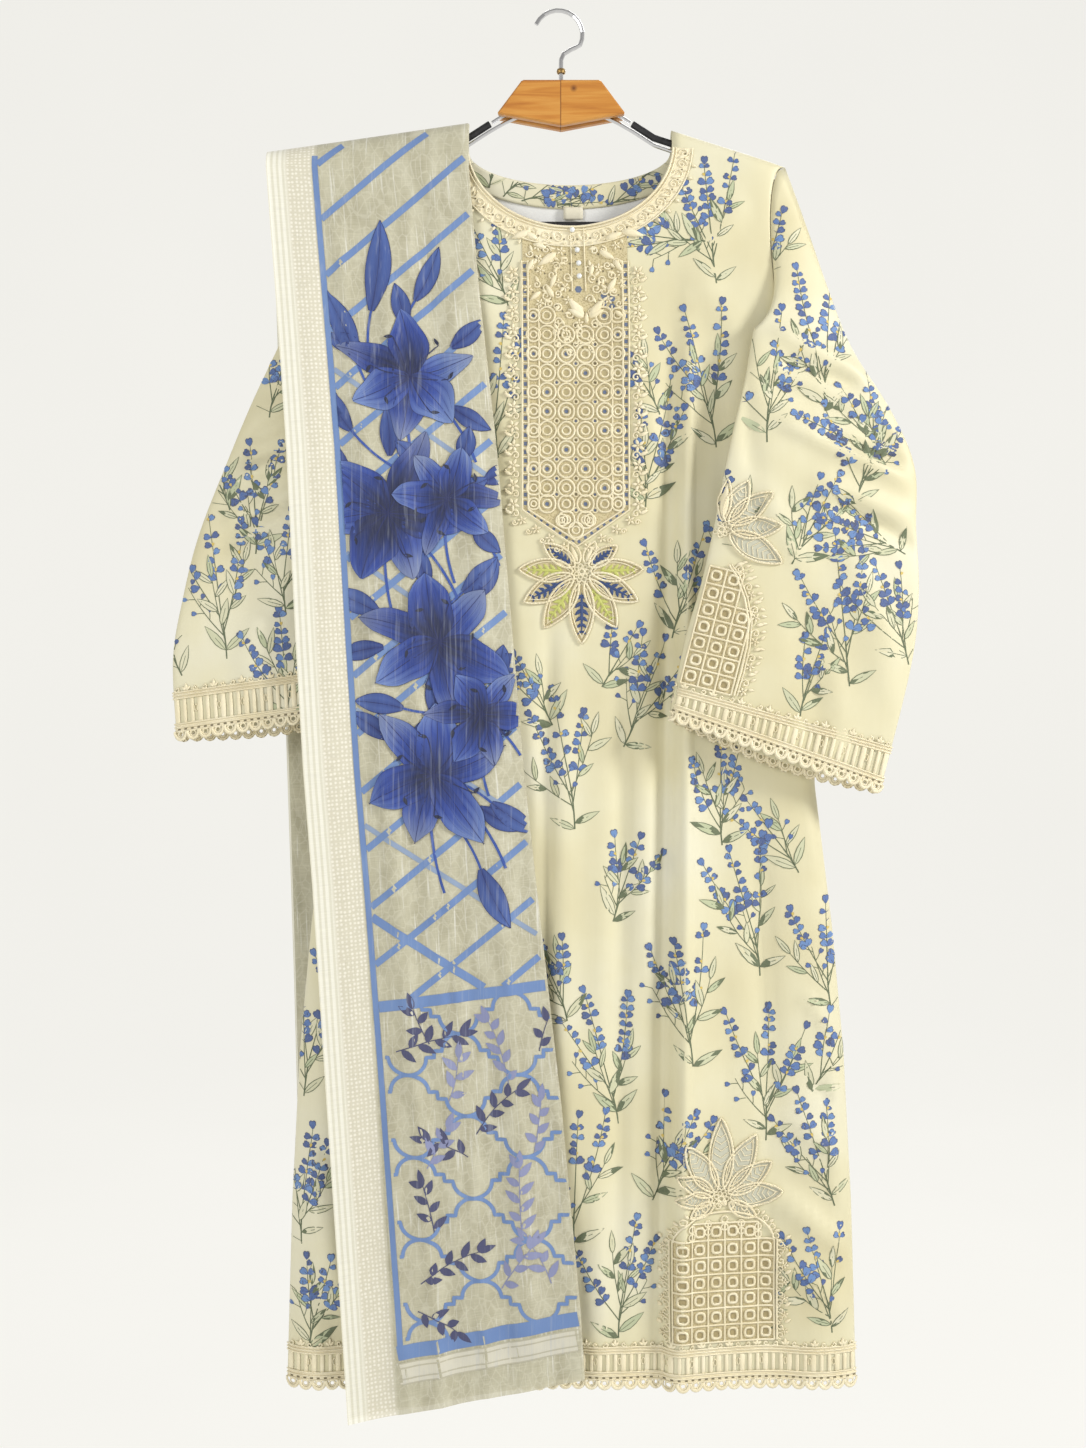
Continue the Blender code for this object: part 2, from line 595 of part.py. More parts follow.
def strip_point(across, place):
    """A point of the folded strip's middle. place is 0 on the shoulder's ridge, -1 and 1 at its two ends."""
    if place <= 0:
        side, rows, bottom = -1, FRONT_FALL, FRONT_FALL_BOTTOM
    else:
        side, rows, bottom = 1, BACK_FALL, BACK_FALL_BOTTOM
    place = abs(place)
    top = rows[0]
    x_top = mix(top.left_x, top.right_x, across)
    top_depth = mix(top.left_depth, top.right_depth, across)
    if place < FALL_TURN:
        angle = math.pi / 2 * place / FALL_TURN
        drop = ridge_z(x_top) - top.z
        z = ridge_z(x_top) - drop * (1 - math.cos(angle))
        return Vector((x_top, side * top_depth * math.sin(angle) ** 0.8, z))
    share = (place - FALL_TURN) / (1 - FALL_TURN)
    z = mix(top.z, mix(*bottom, across), share)
    row = row_at(rows, z)
    depth = mix(row.left_depth, row.right_depth, across ** 1.6)
    ripple = 0.0016 * smooth(share * 3) * math.sin(2 * math.pi * (2.6 * across + 0.35 * share))
    return Vector((mix(row.left_x, row.right_x, across), side * (depth + ripple), z))


def strip_places():
    """The strip's rows, from the bottom of the back fall over the ridge to the bottom of the front."""
    def fall(steps):
        return [FALL_TURN + (1 - FALL_TURN) * i / steps for i in range(steps + 1)]

    turn = [FALL_TURN * i / RIDGE_ROWS for i in range(RIDGE_ROWS)]
    back = (turn + fall(BACK_FALL_ROWS))[:0:-1]
    front = [-p for p in turn + fall(FRONT_FALL_ROWS)]
    return back + front


def layer_line(middle, ways, runs, layer, end_lift):
    """One layer's points from left to right, offset from the strip's middle line and drawn up its run."""
    spacing = SHEER + LAYER_GAP
    offset = spacing * (1.5 - layer)
    lift = LAYERS[layer].lift * end_lift
    points = [p + n * offset + run * lift for p, n, run in zip(middle, ways, runs)]
    points[0] = points[0].lerp(points[1], LAYERS[layer].inset * FALL_ACROSS)
    return points


def turned_edge(centre, way, outward, radius, steps):
    """The points of a fold between two layers, from the layer in front to the one behind."""
    line = []
    for i in range(1, steps + 1):
        turn = math.pi * i / (steps + 1)
        line.append(centre + (way * math.cos(turn) + outward * math.sin(turn)) * radius)
    return line


def make_dupatta(finish):
    """The dupatta as one sheet, folded twice lengthwise into nested layers and hung over the shoulder."""
    places = strip_places()
    middle = [[strip_point(i / FALL_ACROSS, p) for i in range(FALL_ACROSS + 1)] for p in places]
    ways = grid_normals(middle, closed=False)
    spacing = SHEER + LAYER_GAP
    grid = []
    for row, (place, line, out) in enumerate(zip(places, middle, ways)):
        end_lift = smooth((abs(place) - 0.8) * 5)
        higher = middle[row + 1] if place > 0 else middle[row - 1]
        runs = [(above - point).normalized() for above, point in zip(higher, line)]
        first, second, third, fourth = (layer_line(line, out, runs, k, end_lift) for k in range(4))
        rightward = (line[-1] - line[-2]).normalized()
        leftward = (line[0] - line[1]).normalized()
        lift = runs[-1] * LAYERS[3].lift * end_lift
        section = list(first)
        section += turned_edge(line[-1] + lift / 2, out[-1], rightward, 1.5 * spacing, 2)
        section += fourth[::-1]
        section += turned_edge((fourth[0] + third[0]) / 2, -out[0], leftward, 0.5 * spacing, 1)
        section += third
        section += turned_edge((third[-1] + second[-1]) / 2, -out[-1], rightward, 0.5 * spacing, 1)
        section += second[::-1]
        grid.append([p + Vector((suit_x(p.z), 0, 0)) for p in section])
    # Layers that run back are split the other way, so that all layers bend alike.
    there_and_back = FALL_ACROSS + 2
    wall(
        "dupatta", grid, grid_normals(grid, closed=False), SHEER, finish,
        mirrored=lambda c: c // there_and_back % 2 == 1,
    )


# Lace and trims ------------------------------------------------------------------------------------


def ladder_columns(length, folds_at=()):
    """Places from 0 to 1 along a ladder band, at both sides of each bar, and which spans are bars.

    folds_at are places where the cloth below bends: the band gets a column there too.
    """
    count = max(2, round(length / BAND_PITCH))
    bar = BAND_BAR / (count * BAND_PITCH + BAND_BAR)
    pitch = (1 - bar) / count
    places, is_bar = [0.0], []
    for i in range(count):
        places += [i * pitch + bar, (i + 1) * pitch]
        is_bar += [True, False]
    places.append(1.0)
    is_bar.append(True)
    near = bar * 0.25
    for fold in folds_at:
        nearest = min(range(len(places)), key=lambda i: abs(places[i] - fold))
        if abs(places[nearest] - fold) < near:
            places[nearest] = fold
        elif 0 < fold < 1:
            after = next(i for i, place in enumerate(places) if place > fold)
            places.insert(after, fold)
            is_bar.insert(after, is_bar[after - 1])
    return places, is_bar


def make_hem_lace(front, finish):
    """The band along the front hem: two rails joined by bars, open between them, and scallops below."""
    left, right = front.grid[-1][0].x + 0.001, front.grid[-1][-1].x - 0.001
    folds = [(p.x - left) / (right - left) for p in front.grid[-1][1:-1]]
    places, is_bar = ladder_columns(right - left, folds)
    top_z = HEM_Z + BAND_HEIGHT
    grid, normals = [], []
    for row in range(4):
        line, ways = [], []
        for c, place in enumerate(places):
            x = mix(left, right, place)
            wave = math.cos(2 * math.pi * (x - left) / (2 * BAND_PITCH))
            z = (
                top_z + 0.0025 + 0.0025 * wave, top_z - BAND_RAIL, HEM_Z + BAND_RAIL - 0.002,
                HEM_Z - SCALLOP * (0.8 + 0.2 * wave),
            )[row]
            point, way = lay_on(front.tree, x, z, LACE_GAP + LACE / 2, HEM_Z + 0.0015)
            line.append(point)
            ways.append(way)
        grid.append(line)
        normals.append(ways)
    wall("hem_lace", grid, normals, LACE, finish, kept=lambda r, c: r != 1 or is_bar[c])


def make_neck_lace(front, finish):
    """The band round the front neckline."""
    steps = 26
    grid, normals = [], []
    for offset in (0.0012, 0.007, 0.0135, NECK_BAND):
        line, ways = [], []
        for i in range(steps + 1):
            angle = math.radians(mix(176, 4, i / steps))
            x = (NECK_HALF_WIDTH + offset) * math.cos(angle)
            z = NECK_CURVE_Z - (FRONT_NECK_DROP + offset) * math.sin(angle)
            rise = LACE_GAP + LACE / 2 + 0.0006 * abs(math.cos(angle)) ** 6
            point, way = lay_on(front.tree, x + suit_x(z), z, rise)
            line.append(point)
            ways.append(way)
        grid.append(line)
        normals.append(ways)
    wall("neck_lace", grid, normals, LACE, finish)


def make_yoke_lace(front, finish):
    """The yoke's lace panel, pointed below, with a low rise for each of its rings."""
    grid, normals = [], []
    for r in range(YOKE_DOWN + 1):
        line, ways = [], []
        for c in range(YOKE_ACROSS + 1):
            share = c / YOKE_ACROSS * 2 - 1
            x = YOKE_X + YOKE_HALF_WIDTH * share
            band = NECK_HALF_WIDTH + NECK_BAND
            top = NECK_CURVE_Z - (FRONT_NECK_DROP + NECK_BAND) * math.sqrt(1 - (x / band) ** 2) - 0.0012
            bottom = mix(YOKE_POINT_Z, YOKE_SIDE_END_Z, abs(share))
            z = mix(top, bottom, r / YOKE_DOWN)
            ring = YOKE_RING_RISE if r % 2 and c % 2 else 0.0
            point, way = lay_on(front.tree, x + suit_x(z), z, LACE_GAP + LACE / 2)
            line.append(point + way * ring)
            ways.append(way)
        grid.append(line)
        normals.append(ways)
    wall("yoke_lace", grid, normals, LACE, finish)


def petal_outline(petals, whole):
    """Angle and reach round a flower: for each petal its two shoulders and its tip, and the dip after it."""
    outline = []
    for i, petal in enumerate(petals):
        wide = math.degrees(math.atan2(PETAL_HALF_WIDTH, 0.58 * petal.reach))
        gap_before = (petal.angle - petals[i - 1].angle) % 360
        gap_after = (petals[(i + 1) % len(petals)].angle - petal.angle) % 360
        before, after = min(wide, gap_before * 0.42), min(wide, gap_after * 0.42)
        outline.append((petal.angle - before, 0.58 * petal.reach))
        outline.append((petal.angle, petal.reach))
        outline.append((petal.angle + after, 0.58 * petal.reach))
        if whole or i < len(petals) - 1:
            outline.append((petal.angle + gap_after / 2, 1.5 * FLOWER_HEART))
    return outline


def make_flower(name, panel, flower, finish, whole=True, keep_right_of=None, gap=APPLIQUE_GAP):
    """Petals joined at the heart and laid on the cloth. They may be kept to the right of a fold's edge."""
    (centre_x, centre_z), petals = flower
    outline = petal_outline(petals, whole)
    surface, ways = [], []
    for share in (1.0, 0.5):
        for angle, reach in outline:
            x = centre_x + reach * share * math.cos(math.radians(angle))
            z = centre_z + reach * share * math.sin(math.radians(angle))
            if keep_right_of is not None:
                x = max(x, keep_right_of)
            point, way = lay_on(panel.tree, x + suit_x(z), z, gap + LACE / 2)
            surface.append(point)
            ways.append(way)
    point, way = lay_on(panel.tree, centre_x + suit_x(centre_z), centre_z, gap + LACE / 2)
    surface.append(point)
    ways.append(way)
    count = len(outline)
    triangles = []
    for i in range(count if whole else count - 1):
        j = (i + 1) % count
        triangles += [(i, j, j + count), (i, j + count, i + count), (i + count, j + count, 2 * count)]
    plate(name, surface, ways, triangles, LACE, finish)


def make_arch(name, panel, foot, columns, rows, tilt, kept, finish):
    """A panel of square cells, each with a diamond eyelet cut through it. foot is its lower left corner."""
    cos, sin = math.cos(tilt), math.sin(tilt)
    surface, ways, number, triangles = [], [], {}, []

    def point_at(i, j):
        key = (round(i * 100), round(j * 100))
        if key not in number:
            across, up = i * EYELET_PITCH, j * EYELET_PITCH
            x, z = foot[0] + across * cos - up * sin, foot[1] + across * sin + up * cos
            point, way = lay_on(panel.tree, x + suit_x(z), z, APPLIQUE_GAP + LACE / 2)
            number[key] = len(surface)
            surface.append(point)
            ways.append(way)
        return number[key]

    hole = EYELET_HALF / EYELET_PITCH
    for i in range(columns):
        for j in range(rows):
            if not kept(i, j):
                continue
            corners = [point_at(i + a, j + b) for a, b in ((0, 0), (1, 0), (1, 1), (0, 1))]
            rim = [
                point_at(i + 0.5 + a * hole, j + 0.5 + b * hole)
                for a, b in ((0, -1), (1, 0), (0, 1), (-1, 0))
            ]
            for k in range(4):
                m = (k + 1) % 4
                triangles += [(corners[k], corners[m], rim[k]), (corners[m], rim[m], rim[k])]
    plate(name, surface, ways, triangles, LACE, finish)


def along_ring(panel, row, place):
    """A point and its way out on a sleeve's grid, place columns round the ring at the given row."""
    columns = len(panel.grid[0])
    first, second = int(place) % columns, (int(place) + 1) % columns
    share = place - int(place)
    point = panel.grid[row][first].lerp(panel.grid[row][second], share)
    way = panel.normals[row][first].lerp(panel.normals[row][second], share)
    return point, way.normalized()


def make_cuff_lace(name, panel, first, last, bands, finish):
    """Half of a cuff's lace band over the sleeve's columns from first to last, with scallops past the edge.

    bands are the band's heights at the two ends.
    """
    end = len(panel.grid) - 1
    samples = [along_ring(panel, end, mix(first, last, i / 40))[0] for i in range(41)]
    lengths = [0.0]
    for a, b in zip(samples, samples[1:]):
        lengths.append(lengths[-1] + (b - a).length)
    folds = []
    for column in range(math.ceil(first + 0.05), math.ceil(last - 0.05)):
        folds.append((column - first) / (last - first))
    total = lengths[-1]

    def share_at(place):
        """How far along the edge, by length, a place by columns is."""
        spot = place * 40
        i = min(int(spot), 39)
        return mix(lengths[i], lengths[i + 1], spot - i) / total

    def place_at(share):
        i = next(k for k in range(40) if share * total <= lengths[k + 1] or k == 39)
        return (i + (share * total - lengths[i]) / (lengths[i + 1] - lengths[i])) / 40

    shares, is_bar = ladder_columns(total, [share_at(f) for f in folds])
    rise = CLOTH / 2 + LACE_GAP + LACE / 2 + 0.0002
    lines, ways = [[], [], [], []], [[], [], [], []]
    for share in shares:
        column = mix(first, last, place_at(min(1.0, max(0.0, share))))
        edge, edge_way = along_ring(panel, end, column)
        above, above_way = along_ring(panel, end - 1, column)
        up, reach = (above - edge).normalized(), (above - edge).length
        wave = math.cos(2 * math.pi * share * total / (2 * BAND_PITCH))
        band = mix(*bands, share)
        heights = (
            band + 0.0025 + 0.0025 * wave, band - BAND_RAIL, BAND_RAIL - 0.002,
            -SCALLOP * (0.8 + 0.2 * wave),
        )
        for row, height in enumerate(heights):
            way = edge_way.lerp(above_way, max(0.0, min(1.0, height / reach))).normalized()
            lines[row].append(edge + up * height + way * rise)
            ways[row].append(way)
    wall(name, lines, ways, LACE, finish, kept=lambda r, c: r != 1 or is_bar[c])


def make_neck_inside(finishes):
    """What shows inside the back neck: the lining, the facing over it, and the label at the facing's edge."""
    def strip(name, offsets, angles, layer, finish, lowest=None):
        depth_in = CLOTH / 2 + (layer + 1) * (SEAM_GAP + LACE) - LACE / 2
        grid, steps = [], 12
        for offset in offsets:
            line = []
            for i in range(steps + 1):
                angle = math.radians(mix(angles[0], angles[1], i / steps))
                x = (NECK_HALF_WIDTH + offset) * math.cos(angle)
                z = NECK_CURVE_Z - (BACK_NECK_DROP + offset) * math.sin(angle)
                if lowest is not None and offset == offsets[-1]:
                    z = lowest
                depth = body_depth(x, z, False) + SEAM_GAP / 2 - depth_in - 0.0006
                line.append(Vector((x + suit_x(z), depth, z)))
            grid.append(line)
        wall(name, grid, grid_normals(grid, closed=False), LACE, finish)

    strip("back_lining", (0.012, 0.035, 0.036), (150, 30), 0, finishes["lining"], lowest=-0.285)
    strip("neck_facing", (0.0004, 0.011, 0.0225), (160, 20), 1, finishes["print"])
    label_x, label_half, label_top, label_bottom = 0.0030, 0.0090, -0.1780, -0.1898
    depth = body_depth(label_x, label_top, False) - CLOTH / 2 - 3 * (SEAM_GAP + LACE) + 0.0002
    grid = [
        [Vector((label_x + sx * label_half + suit_x(z), depth, z)) for sx in (-1, 0, 1)]
        for z in (label_top, mix(label_top, label_bottom, 0.5), label_bottom)
    ]
    wall("neck_label", grid, grid_normals(grid, closed=False), SHEER, finishes["lining"])


# Hanger --------------------------------------------------------------------------------------------


def smooth_route(corners, spacing):
    """Points about spacing apart on a smooth curve through the corners."""
    route = []
    last = len(corners) - 1
    for i in range(last):
        a, b = corners[max(i - 1, 0)], corners[i]
        c, d = corners[i + 1], corners[min(i + 2, last)]
        steps = max(1, round((c - b).length / spacing))
        for k in range(steps):
            t = k / steps
            route.append(0.5 * (
                2 * b + (c - a) * t + (2 * a - 5 * b + 4 * c - d) * t * t + (3 * b - a - 3 * c + d) * t ** 3
            ))
    return route + [corners[last]]


def rod(name, route, radius, finish, resolution=2):
    """A round bar along a route, with flat ends."""
    curve = bpy.data.curves.new(name, "CURVE")
    curve.dimensions = "3D"
    curve.bevel_depth = radius
    curve.bevel_resolution = resolution
    curve.use_fill_caps = True
    spline = curve.splines.new("POLY")
    spline.points.add(len(route) - 1)
    for point, place in zip(spline.points, route):
        point.co = (*place, 1)
    curve.materials.append(finish)
    made = bpy.data.objects.new(name, curve)
    bpy.context.scene.collection.objects.link(made)
    return made


def make_hook(finish):
    """The hook: a straight shank, a sweep to the right, and a crown whose inside is the origin."""
    centre = Vector((0, 0, WIRE - HOOK_RADIUS))
    crown = []
    for angle in range(115, -71, -15):
        turn = math.radians(angle)
        crown.append(centre + HOOK_RADIUS * Vector((math.sin(turn), 0, math.cos(turn))))
    shank_foot = BLOCK_TOP_Z - 0.010
    corners = [
        Vector((HANGER_X, 0, shank_foot)), Vector((HANGER_X, 0, shank_foot + 0.012)),
        Vector((HANGER_X, 0, -0.0435)), Vector((HANGER_X + 0.0022, 0, -0.0385)),
        Vector((HANGER_X + 0.0085, 0, -0.0345)),
    ]
    rod("hook", smooth_route(corners + crown, 0.006), WIRE, finish)


def make_block(name, front_y, finish):
    """One of the two wooden cheeks that clamp the wires, with the edges eased."""
    outline = [
        (-BLOCK_TOP_HALF, BLOCK_TOP_Z), (BLOCK_TOP_HALF, BLOCK_TOP_Z), (BLOCK_HALF, BLOCK_TIP_Z),
        (0.0, BLOCK_BOTTOM_Z), (-BLOCK_HALF, BLOCK_TIP_Z),
    ]
    points = [(HANGER_X + x, front_y, z) for x, z in outline]
    points += [(HANGER_X + x, front_y + BLOCK_THICKNESS, z) for x, z in outline]
    count = len(outline)
    faces = [tuple(range(count - 1, -1, -1)), tuple(range(count, 2 * count))]
    faces += [(i, (i + 1) % count, (i + 1) % count + count, i + count) for i in range(count)]
    cheek = add_object(name, points, faces, finish)
    bevel = cheek.modifiers.new("eased edges", "BEVEL")
    bevel.width = 0.0014
    bevel.segments = 1


def make_arm(side, steel, rubber):
    """One arm: a wire bent double between the block's cheeks, with a rubber grip on its upper run.

    The lower run goes out below the grip, then turns down and in to the bar.
    """
    tag = "right" if side > 0 else "left"

    def at(x, z):
        return Vector((HANGER_X + side * x, 0, z))

    (bend_x, bend_z), (neck_x, neck_z), (tip_x, tip_z) = ARM_BEND, ARM_NECK, ARM_TIP
    grip = smooth_route([at(bend_x, bend_z), at(neck_x, neck_z), at(tip_x, tip_z)], 0.030)
    rod(f"arm_grip_{tag}", grip, GRIP_RADIUS, rubber)
    drop = ARM_WIRE_DROP
    upper_run = [at(bend_x - 0.0020, bend_z + 0.0012), at(0.053, -0.0950), at(0.040, -0.0880)]
    doubled_end = [at(0.0345, -0.0870), at(0.0318, -0.0905), at(0.0345, -0.0940)]
    lower_run = [
        at(0.052, -0.1020), at(bend_x, bend_z - drop), at(neck_x, neck_z - drop),
        at(tip_x - 0.004, tip_z - drop), at(tip_x + 0.004, tip_z - drop - 0.006),
        at(tip_x + 0.005, tip_z - drop - 0.018), at(tip_x - 0.003, BAR_Z + 0.007),
        at(tip_x - 0.014, BAR_Z + 0.0005), at(BAR_HALF + SEAM_GAP, BAR_Z),
    ]
    route = smooth_route(upper_run + doubled_end + lower_run, 0.020)
    rod(f"arm_wire_{tag}", route, THIN_WIRE, steel)


def make_hanger(steel, rubber, wood, brass):
    make_hook(steel)
    bpy.ops.mesh.primitive_torus_add(
        major_radius=WIRE + 0.0012, minor_radius=0.0009, major_segments=14, minor_segments=6,
        location=(HANGER_X, 0, -0.0545),
    )
    ferrule = bpy.context.object
    ferrule.name = "hook_ferrule"
    ferrule.scale.z = 2.4
    ferrule.data.materials.append(brass)
    make_block("block_front", -BLOCK_GAP / 2 - BLOCK_THICKNESS, wood)
    make_block("block_back", BLOCK_GAP / 2, wood)
    for side in (-1, 1):
        make_arm(side, steel, rubber)
    rod("hanger_bar", [
        Vector((HANGER_X - BAR_HALF, 0, BAR_Z)), Vector((HANGER_X, 0, BAR_Z)),
        Vector((HANGER_X + BAR_HALF, 0, BAR_Z)),
    ], BAR_RADIUS, rubber)


# The suit ------------------------------------------------------------------------------------------


def clear_scene():
    for old in list(bpy.data.objects):
        bpy.data.objects.remove(old)


def main():
    clear_scene()
    finishes = {
        "print": material("printed_cloth", (0.83, 0.79, 0.62), 0.62),
        "lining": material("lining", (0.86, 0.85, 0.80), 0.75),
        "lace": material("lace", (0.90, 0.83, 0.66), 0.70),
        "dupatta": material("dupatta", (0.56, 0.62, 0.72), 0.65),
        "steel": material("chrome", (0.80, 0.80, 0.80), 0.15, 1.0),
        "rubber": material("grip", (0.02, 0.02, 0.02), 0.55),
        "wood": material("wood", (0.62, 0.36, 0.12), 0.45),
        "brass": material("ferrule", (0.55, 0.38, 0.18), 0.35, 1.0),
    }
    panels = make_body(finishes["print"])
    front = panels["kameez_front"]
    right = make_sleeve("sleeve_right", RIGHT_SLEEVE, 1, panels, finishes["print"])
    left = make_sleeve("sleeve_left", LEFT_SLEEVE, -1, panels, finishes["print"])
    make_dupatta(finishes["dupatta"])
    make_neck_inside(finishes)

    lace = finishes["lace"]
    make_neck_lace(front, lace)
    make_yoke_lace(front, lace)
    make_flower("yoke_flower", front, YOKE_FLOWER, lace, gap=LACE_GAP)
    make_hem_lace(front, lace)
    make_flower("hem_flower", front, HEM_FLOWER, lace, keep_right_of=HEM_ARCH_X + 0.0015)
    make_arch(
        "hem_arch", front, (HEM_ARCH_X, HEM_ARCH_BOTTOM_Z), HEM_ARCH_COLUMNS, HEM_ARCH_ROWS, 0.0,
        lambda i, j: j < HEM_ARCH_ROWS - 1 or 1 <= i <= HEM_ARCH_COLUMNS - 2, lace,
    )
    make_arch(
        "sleeve_arch", right, (SLEEVE_ARCH_X, SLEEVE_ARCH_BOTTOM_Z), SLEEVE_ARCH_COLUMNS,
        SLEEVE_ARCH_ROWS, SLEEVE_ARCH_TILT, lambda i, j: i < SLEEVE_ARCH_COLUMNS - max(0, j - 3) // 2, lace,
    )
    make_flower("sleeve_flower", right, SLEEVE_FLOWER, lace, whole=False)
    back, edge, total = SLEEVE_BACK_STEPS, SLEEVE_EDGE_STEPS, len(right.grid[0])
    inner, outer = CUFF_BAND_INNER, CUFF_BAND_OUTER
    make_cuff_lace("cuff_lace_right_front", right, back + edge - 1, total - 1.03, (inner, outer), lace)
    make_cuff_lace("cuff_lace_right_back", right, 0.12, back - 0.4, (outer, inner), lace)
    front_steps = SLEEVE_FRONT_STEPS
    make_cuff_lace("cuff_lace_left_front", left, 0.03, front_steps, (outer, outer), lace)
    make_cuff_lace("cuff_lace_left_back", left, front_steps + edge + 0.4, total - 0.12, (outer, outer), lace)
    make_hanger(finishes["steel"], finishes["rubber"], finishes["wood"], finishes["brass"])


main()
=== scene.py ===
"""Looks of the kameez and dupatta on their hanger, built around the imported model.

Metres, +Z up, the front faces -Y. The cloth's forms repeat the CAD source's names and sizes. Tables in text
give lengths in millimetres and shares in thousandths, and their rows are parted by commas.
"""

import json
import random
from collections import namedtuple
from math import acos, atan2, ceil, copysign, cos, exp, hypot, pi, radians, sin, sqrt

import bpy
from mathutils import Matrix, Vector, noise
from mathutils.bvhtree import BVHTree

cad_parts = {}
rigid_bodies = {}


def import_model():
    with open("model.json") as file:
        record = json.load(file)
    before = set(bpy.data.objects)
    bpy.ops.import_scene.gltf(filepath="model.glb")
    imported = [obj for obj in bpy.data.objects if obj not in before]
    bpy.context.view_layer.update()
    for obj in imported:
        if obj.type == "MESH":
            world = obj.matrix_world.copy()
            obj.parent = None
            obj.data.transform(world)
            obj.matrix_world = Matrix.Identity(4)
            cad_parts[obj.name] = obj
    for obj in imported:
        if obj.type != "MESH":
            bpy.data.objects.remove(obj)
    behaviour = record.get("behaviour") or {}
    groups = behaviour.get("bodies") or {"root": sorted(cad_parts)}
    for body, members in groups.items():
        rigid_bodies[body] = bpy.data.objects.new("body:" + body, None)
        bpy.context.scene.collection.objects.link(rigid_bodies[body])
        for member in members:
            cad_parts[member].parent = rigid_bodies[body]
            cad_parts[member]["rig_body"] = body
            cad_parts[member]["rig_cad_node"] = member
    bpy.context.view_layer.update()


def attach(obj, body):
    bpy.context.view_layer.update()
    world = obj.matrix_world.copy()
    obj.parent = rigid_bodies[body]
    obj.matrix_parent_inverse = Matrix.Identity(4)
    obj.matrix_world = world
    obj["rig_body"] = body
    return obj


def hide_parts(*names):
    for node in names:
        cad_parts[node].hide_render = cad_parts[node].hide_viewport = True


def table(fields, text, scale=1000):
    """A text's rows of numbers as named tuples."""
    kind = namedtuple("Row", fields)
    return tuple(kind(*(float(n) / scale for n in row.split())) for row in text.split(","))


# Forms of the CAD source -----------------------------------------------------------------------------

CLOTH, SHEER, LACE_PLATE = 0.0012, 0.0010, 0.0010
LAYER_GAP = SEAM_GAP = 0.0003
SUIT_X_AT_NECK, SUIT_X_AT_HEM = 0.0108, 0.0124

# Kameez pattern. Heights are below the hook's crown, widths are from the centre front. Below the curve's
# height each neckline is half an ellipse. Above it the neck edge runs straight up over the roll.
NECK_HALF_WIDTH, NECK_Z, NECK_CURVE_Z = 0.0938, -0.1100, -0.1256
FRONT_NECK_DROP, BACK_NECK_DROP = 0.0754, 0.0314
SHOULDER_HALF_WIDTH, SHOULDER_SLOPE = 0.198, 0.32
SHOULDER_Z = NECK_Z - SHOULDER_SLOPE * (SHOULDER_HALF_WIDTH - NECK_HALF_WIDTH)
ARMPIT_HALF_WIDTH, ARMPIT_Z, ARMHOLE_SCOOP = 0.226, -0.370, 0.025
HEM_Z = -1.258
SHOULDER_ROLL, SIDE_ROLL = 0.012, 0.026

BODY = table("z half_width front_depth back_depth edge_share", """
    -100 198 10 10 0, -142 198 11 11 0, -370 226 17 14 0, -580 222 18 15 0, -716 225 18 15 0,
    -845 240 19 15 300, -959 250 20 16 450, -1097 257 20 16 450, -1280 262 20 16 450""")

# Long soft folds: crest_top and crest_hem are the crest's x, the fold grows from start_z to full_z.
FOLD = "crest_top crest_hem start_z full_z left_width right_width height"
FRONT_FOLDS = table(FOLD, """
    101 92.5 -330 -950 14 75 10, -35 -45 -520 -1100 45 40 5, 30 34 -560 -1150 30 34 3.5,
    -130 -150 -700 -1150 40 45 5.5, 205 222 -760 -1150 30 28 4.5, -212 -232 -800 -1200 30 20 4""")
BACK_FOLDS = table(FOLD, """
    -120 -140 -320 -1000 60 40 6, 10 0 -400 -1100 50 50 4.5, 120 135 -300 -950 35 60 6.5,
    200 220 -760 -1150 30 26 4""")
# The grid has a column down the front's sharp crease.
CREASE_TOP_X = NECK_HALF_WIDTH * cos(radians(30))
CREASE_START_Z = -0.340

# Sleeve sections from the armhole to the cuff.
SLEEVE = ("outer_x outer_z outer_y edge_x edge_z edge_y inner_x inner_z inner_y "
          "front_swell back_swell back_sag")
RIGHT_SLEEVE = table(SLEEVE, """
    212 -184 -1 178 -250 -23 229 -374 -6 6 8 0, 233 -246 -6 165.5 -300 -31 235 -384 -12 8 4 0,
    256.5 -312 -13 156 -350 -36 238 -400 -22 10 4 14, 292.5 -374 -20 146 -392 -39 222 -416 -29 10 5 8,
    312.5 -425 -24 137.5 -432 -40 190 -444 -31 10 4 3, 313.5 -480 -26 128 -482 -40 136 -488 -32 10 4 3,
    315.5 -540 -28 116.5 -533 -40 125 -538 -33 9 4 5, 308.5 -605 -29 102 -583 -40 110 -588 -34 8 4 7,
    281 -715 -31 88.5 -648 -41 97 -652 -35 7 3 9""")
LEFT_SLEEVE = table(SLEEVE, """
    211 -181 -1 180 -252 -21 229 -374 -6 6 8 0, 237 -240 -6 174 -308 -28 235 -384 -12 8 4 0,
    264.5 -302 -12 171 -354 -32 238 -400 -22 9 4 14, 291.5 -362 -18 168 -396 -35 222 -416 -29 9 5 10,
    314 -418 -22 166 -434 -36 190 -444 -31 9 4 3, 340 -486 -24 165 -490 -36 174 -499 -30 9 4 3,
    354.5 -545 -26 163 -543 -36 172 -550 -31 8 4 4, 363.2 -600 -27 161 -588 -37 170 -594 -31 8 4 5,
    360 -667 -28 159 -639 -38 168 -643 -32 7 3 6""")
SLEEVE_FRONT_STEPS, SLEEVE_EDGE_STEPS, SLEEVE_BACK_STEPS = 30, 7, 24
SLEEVE_RINGS, FIRST_RING = 84, 0.125

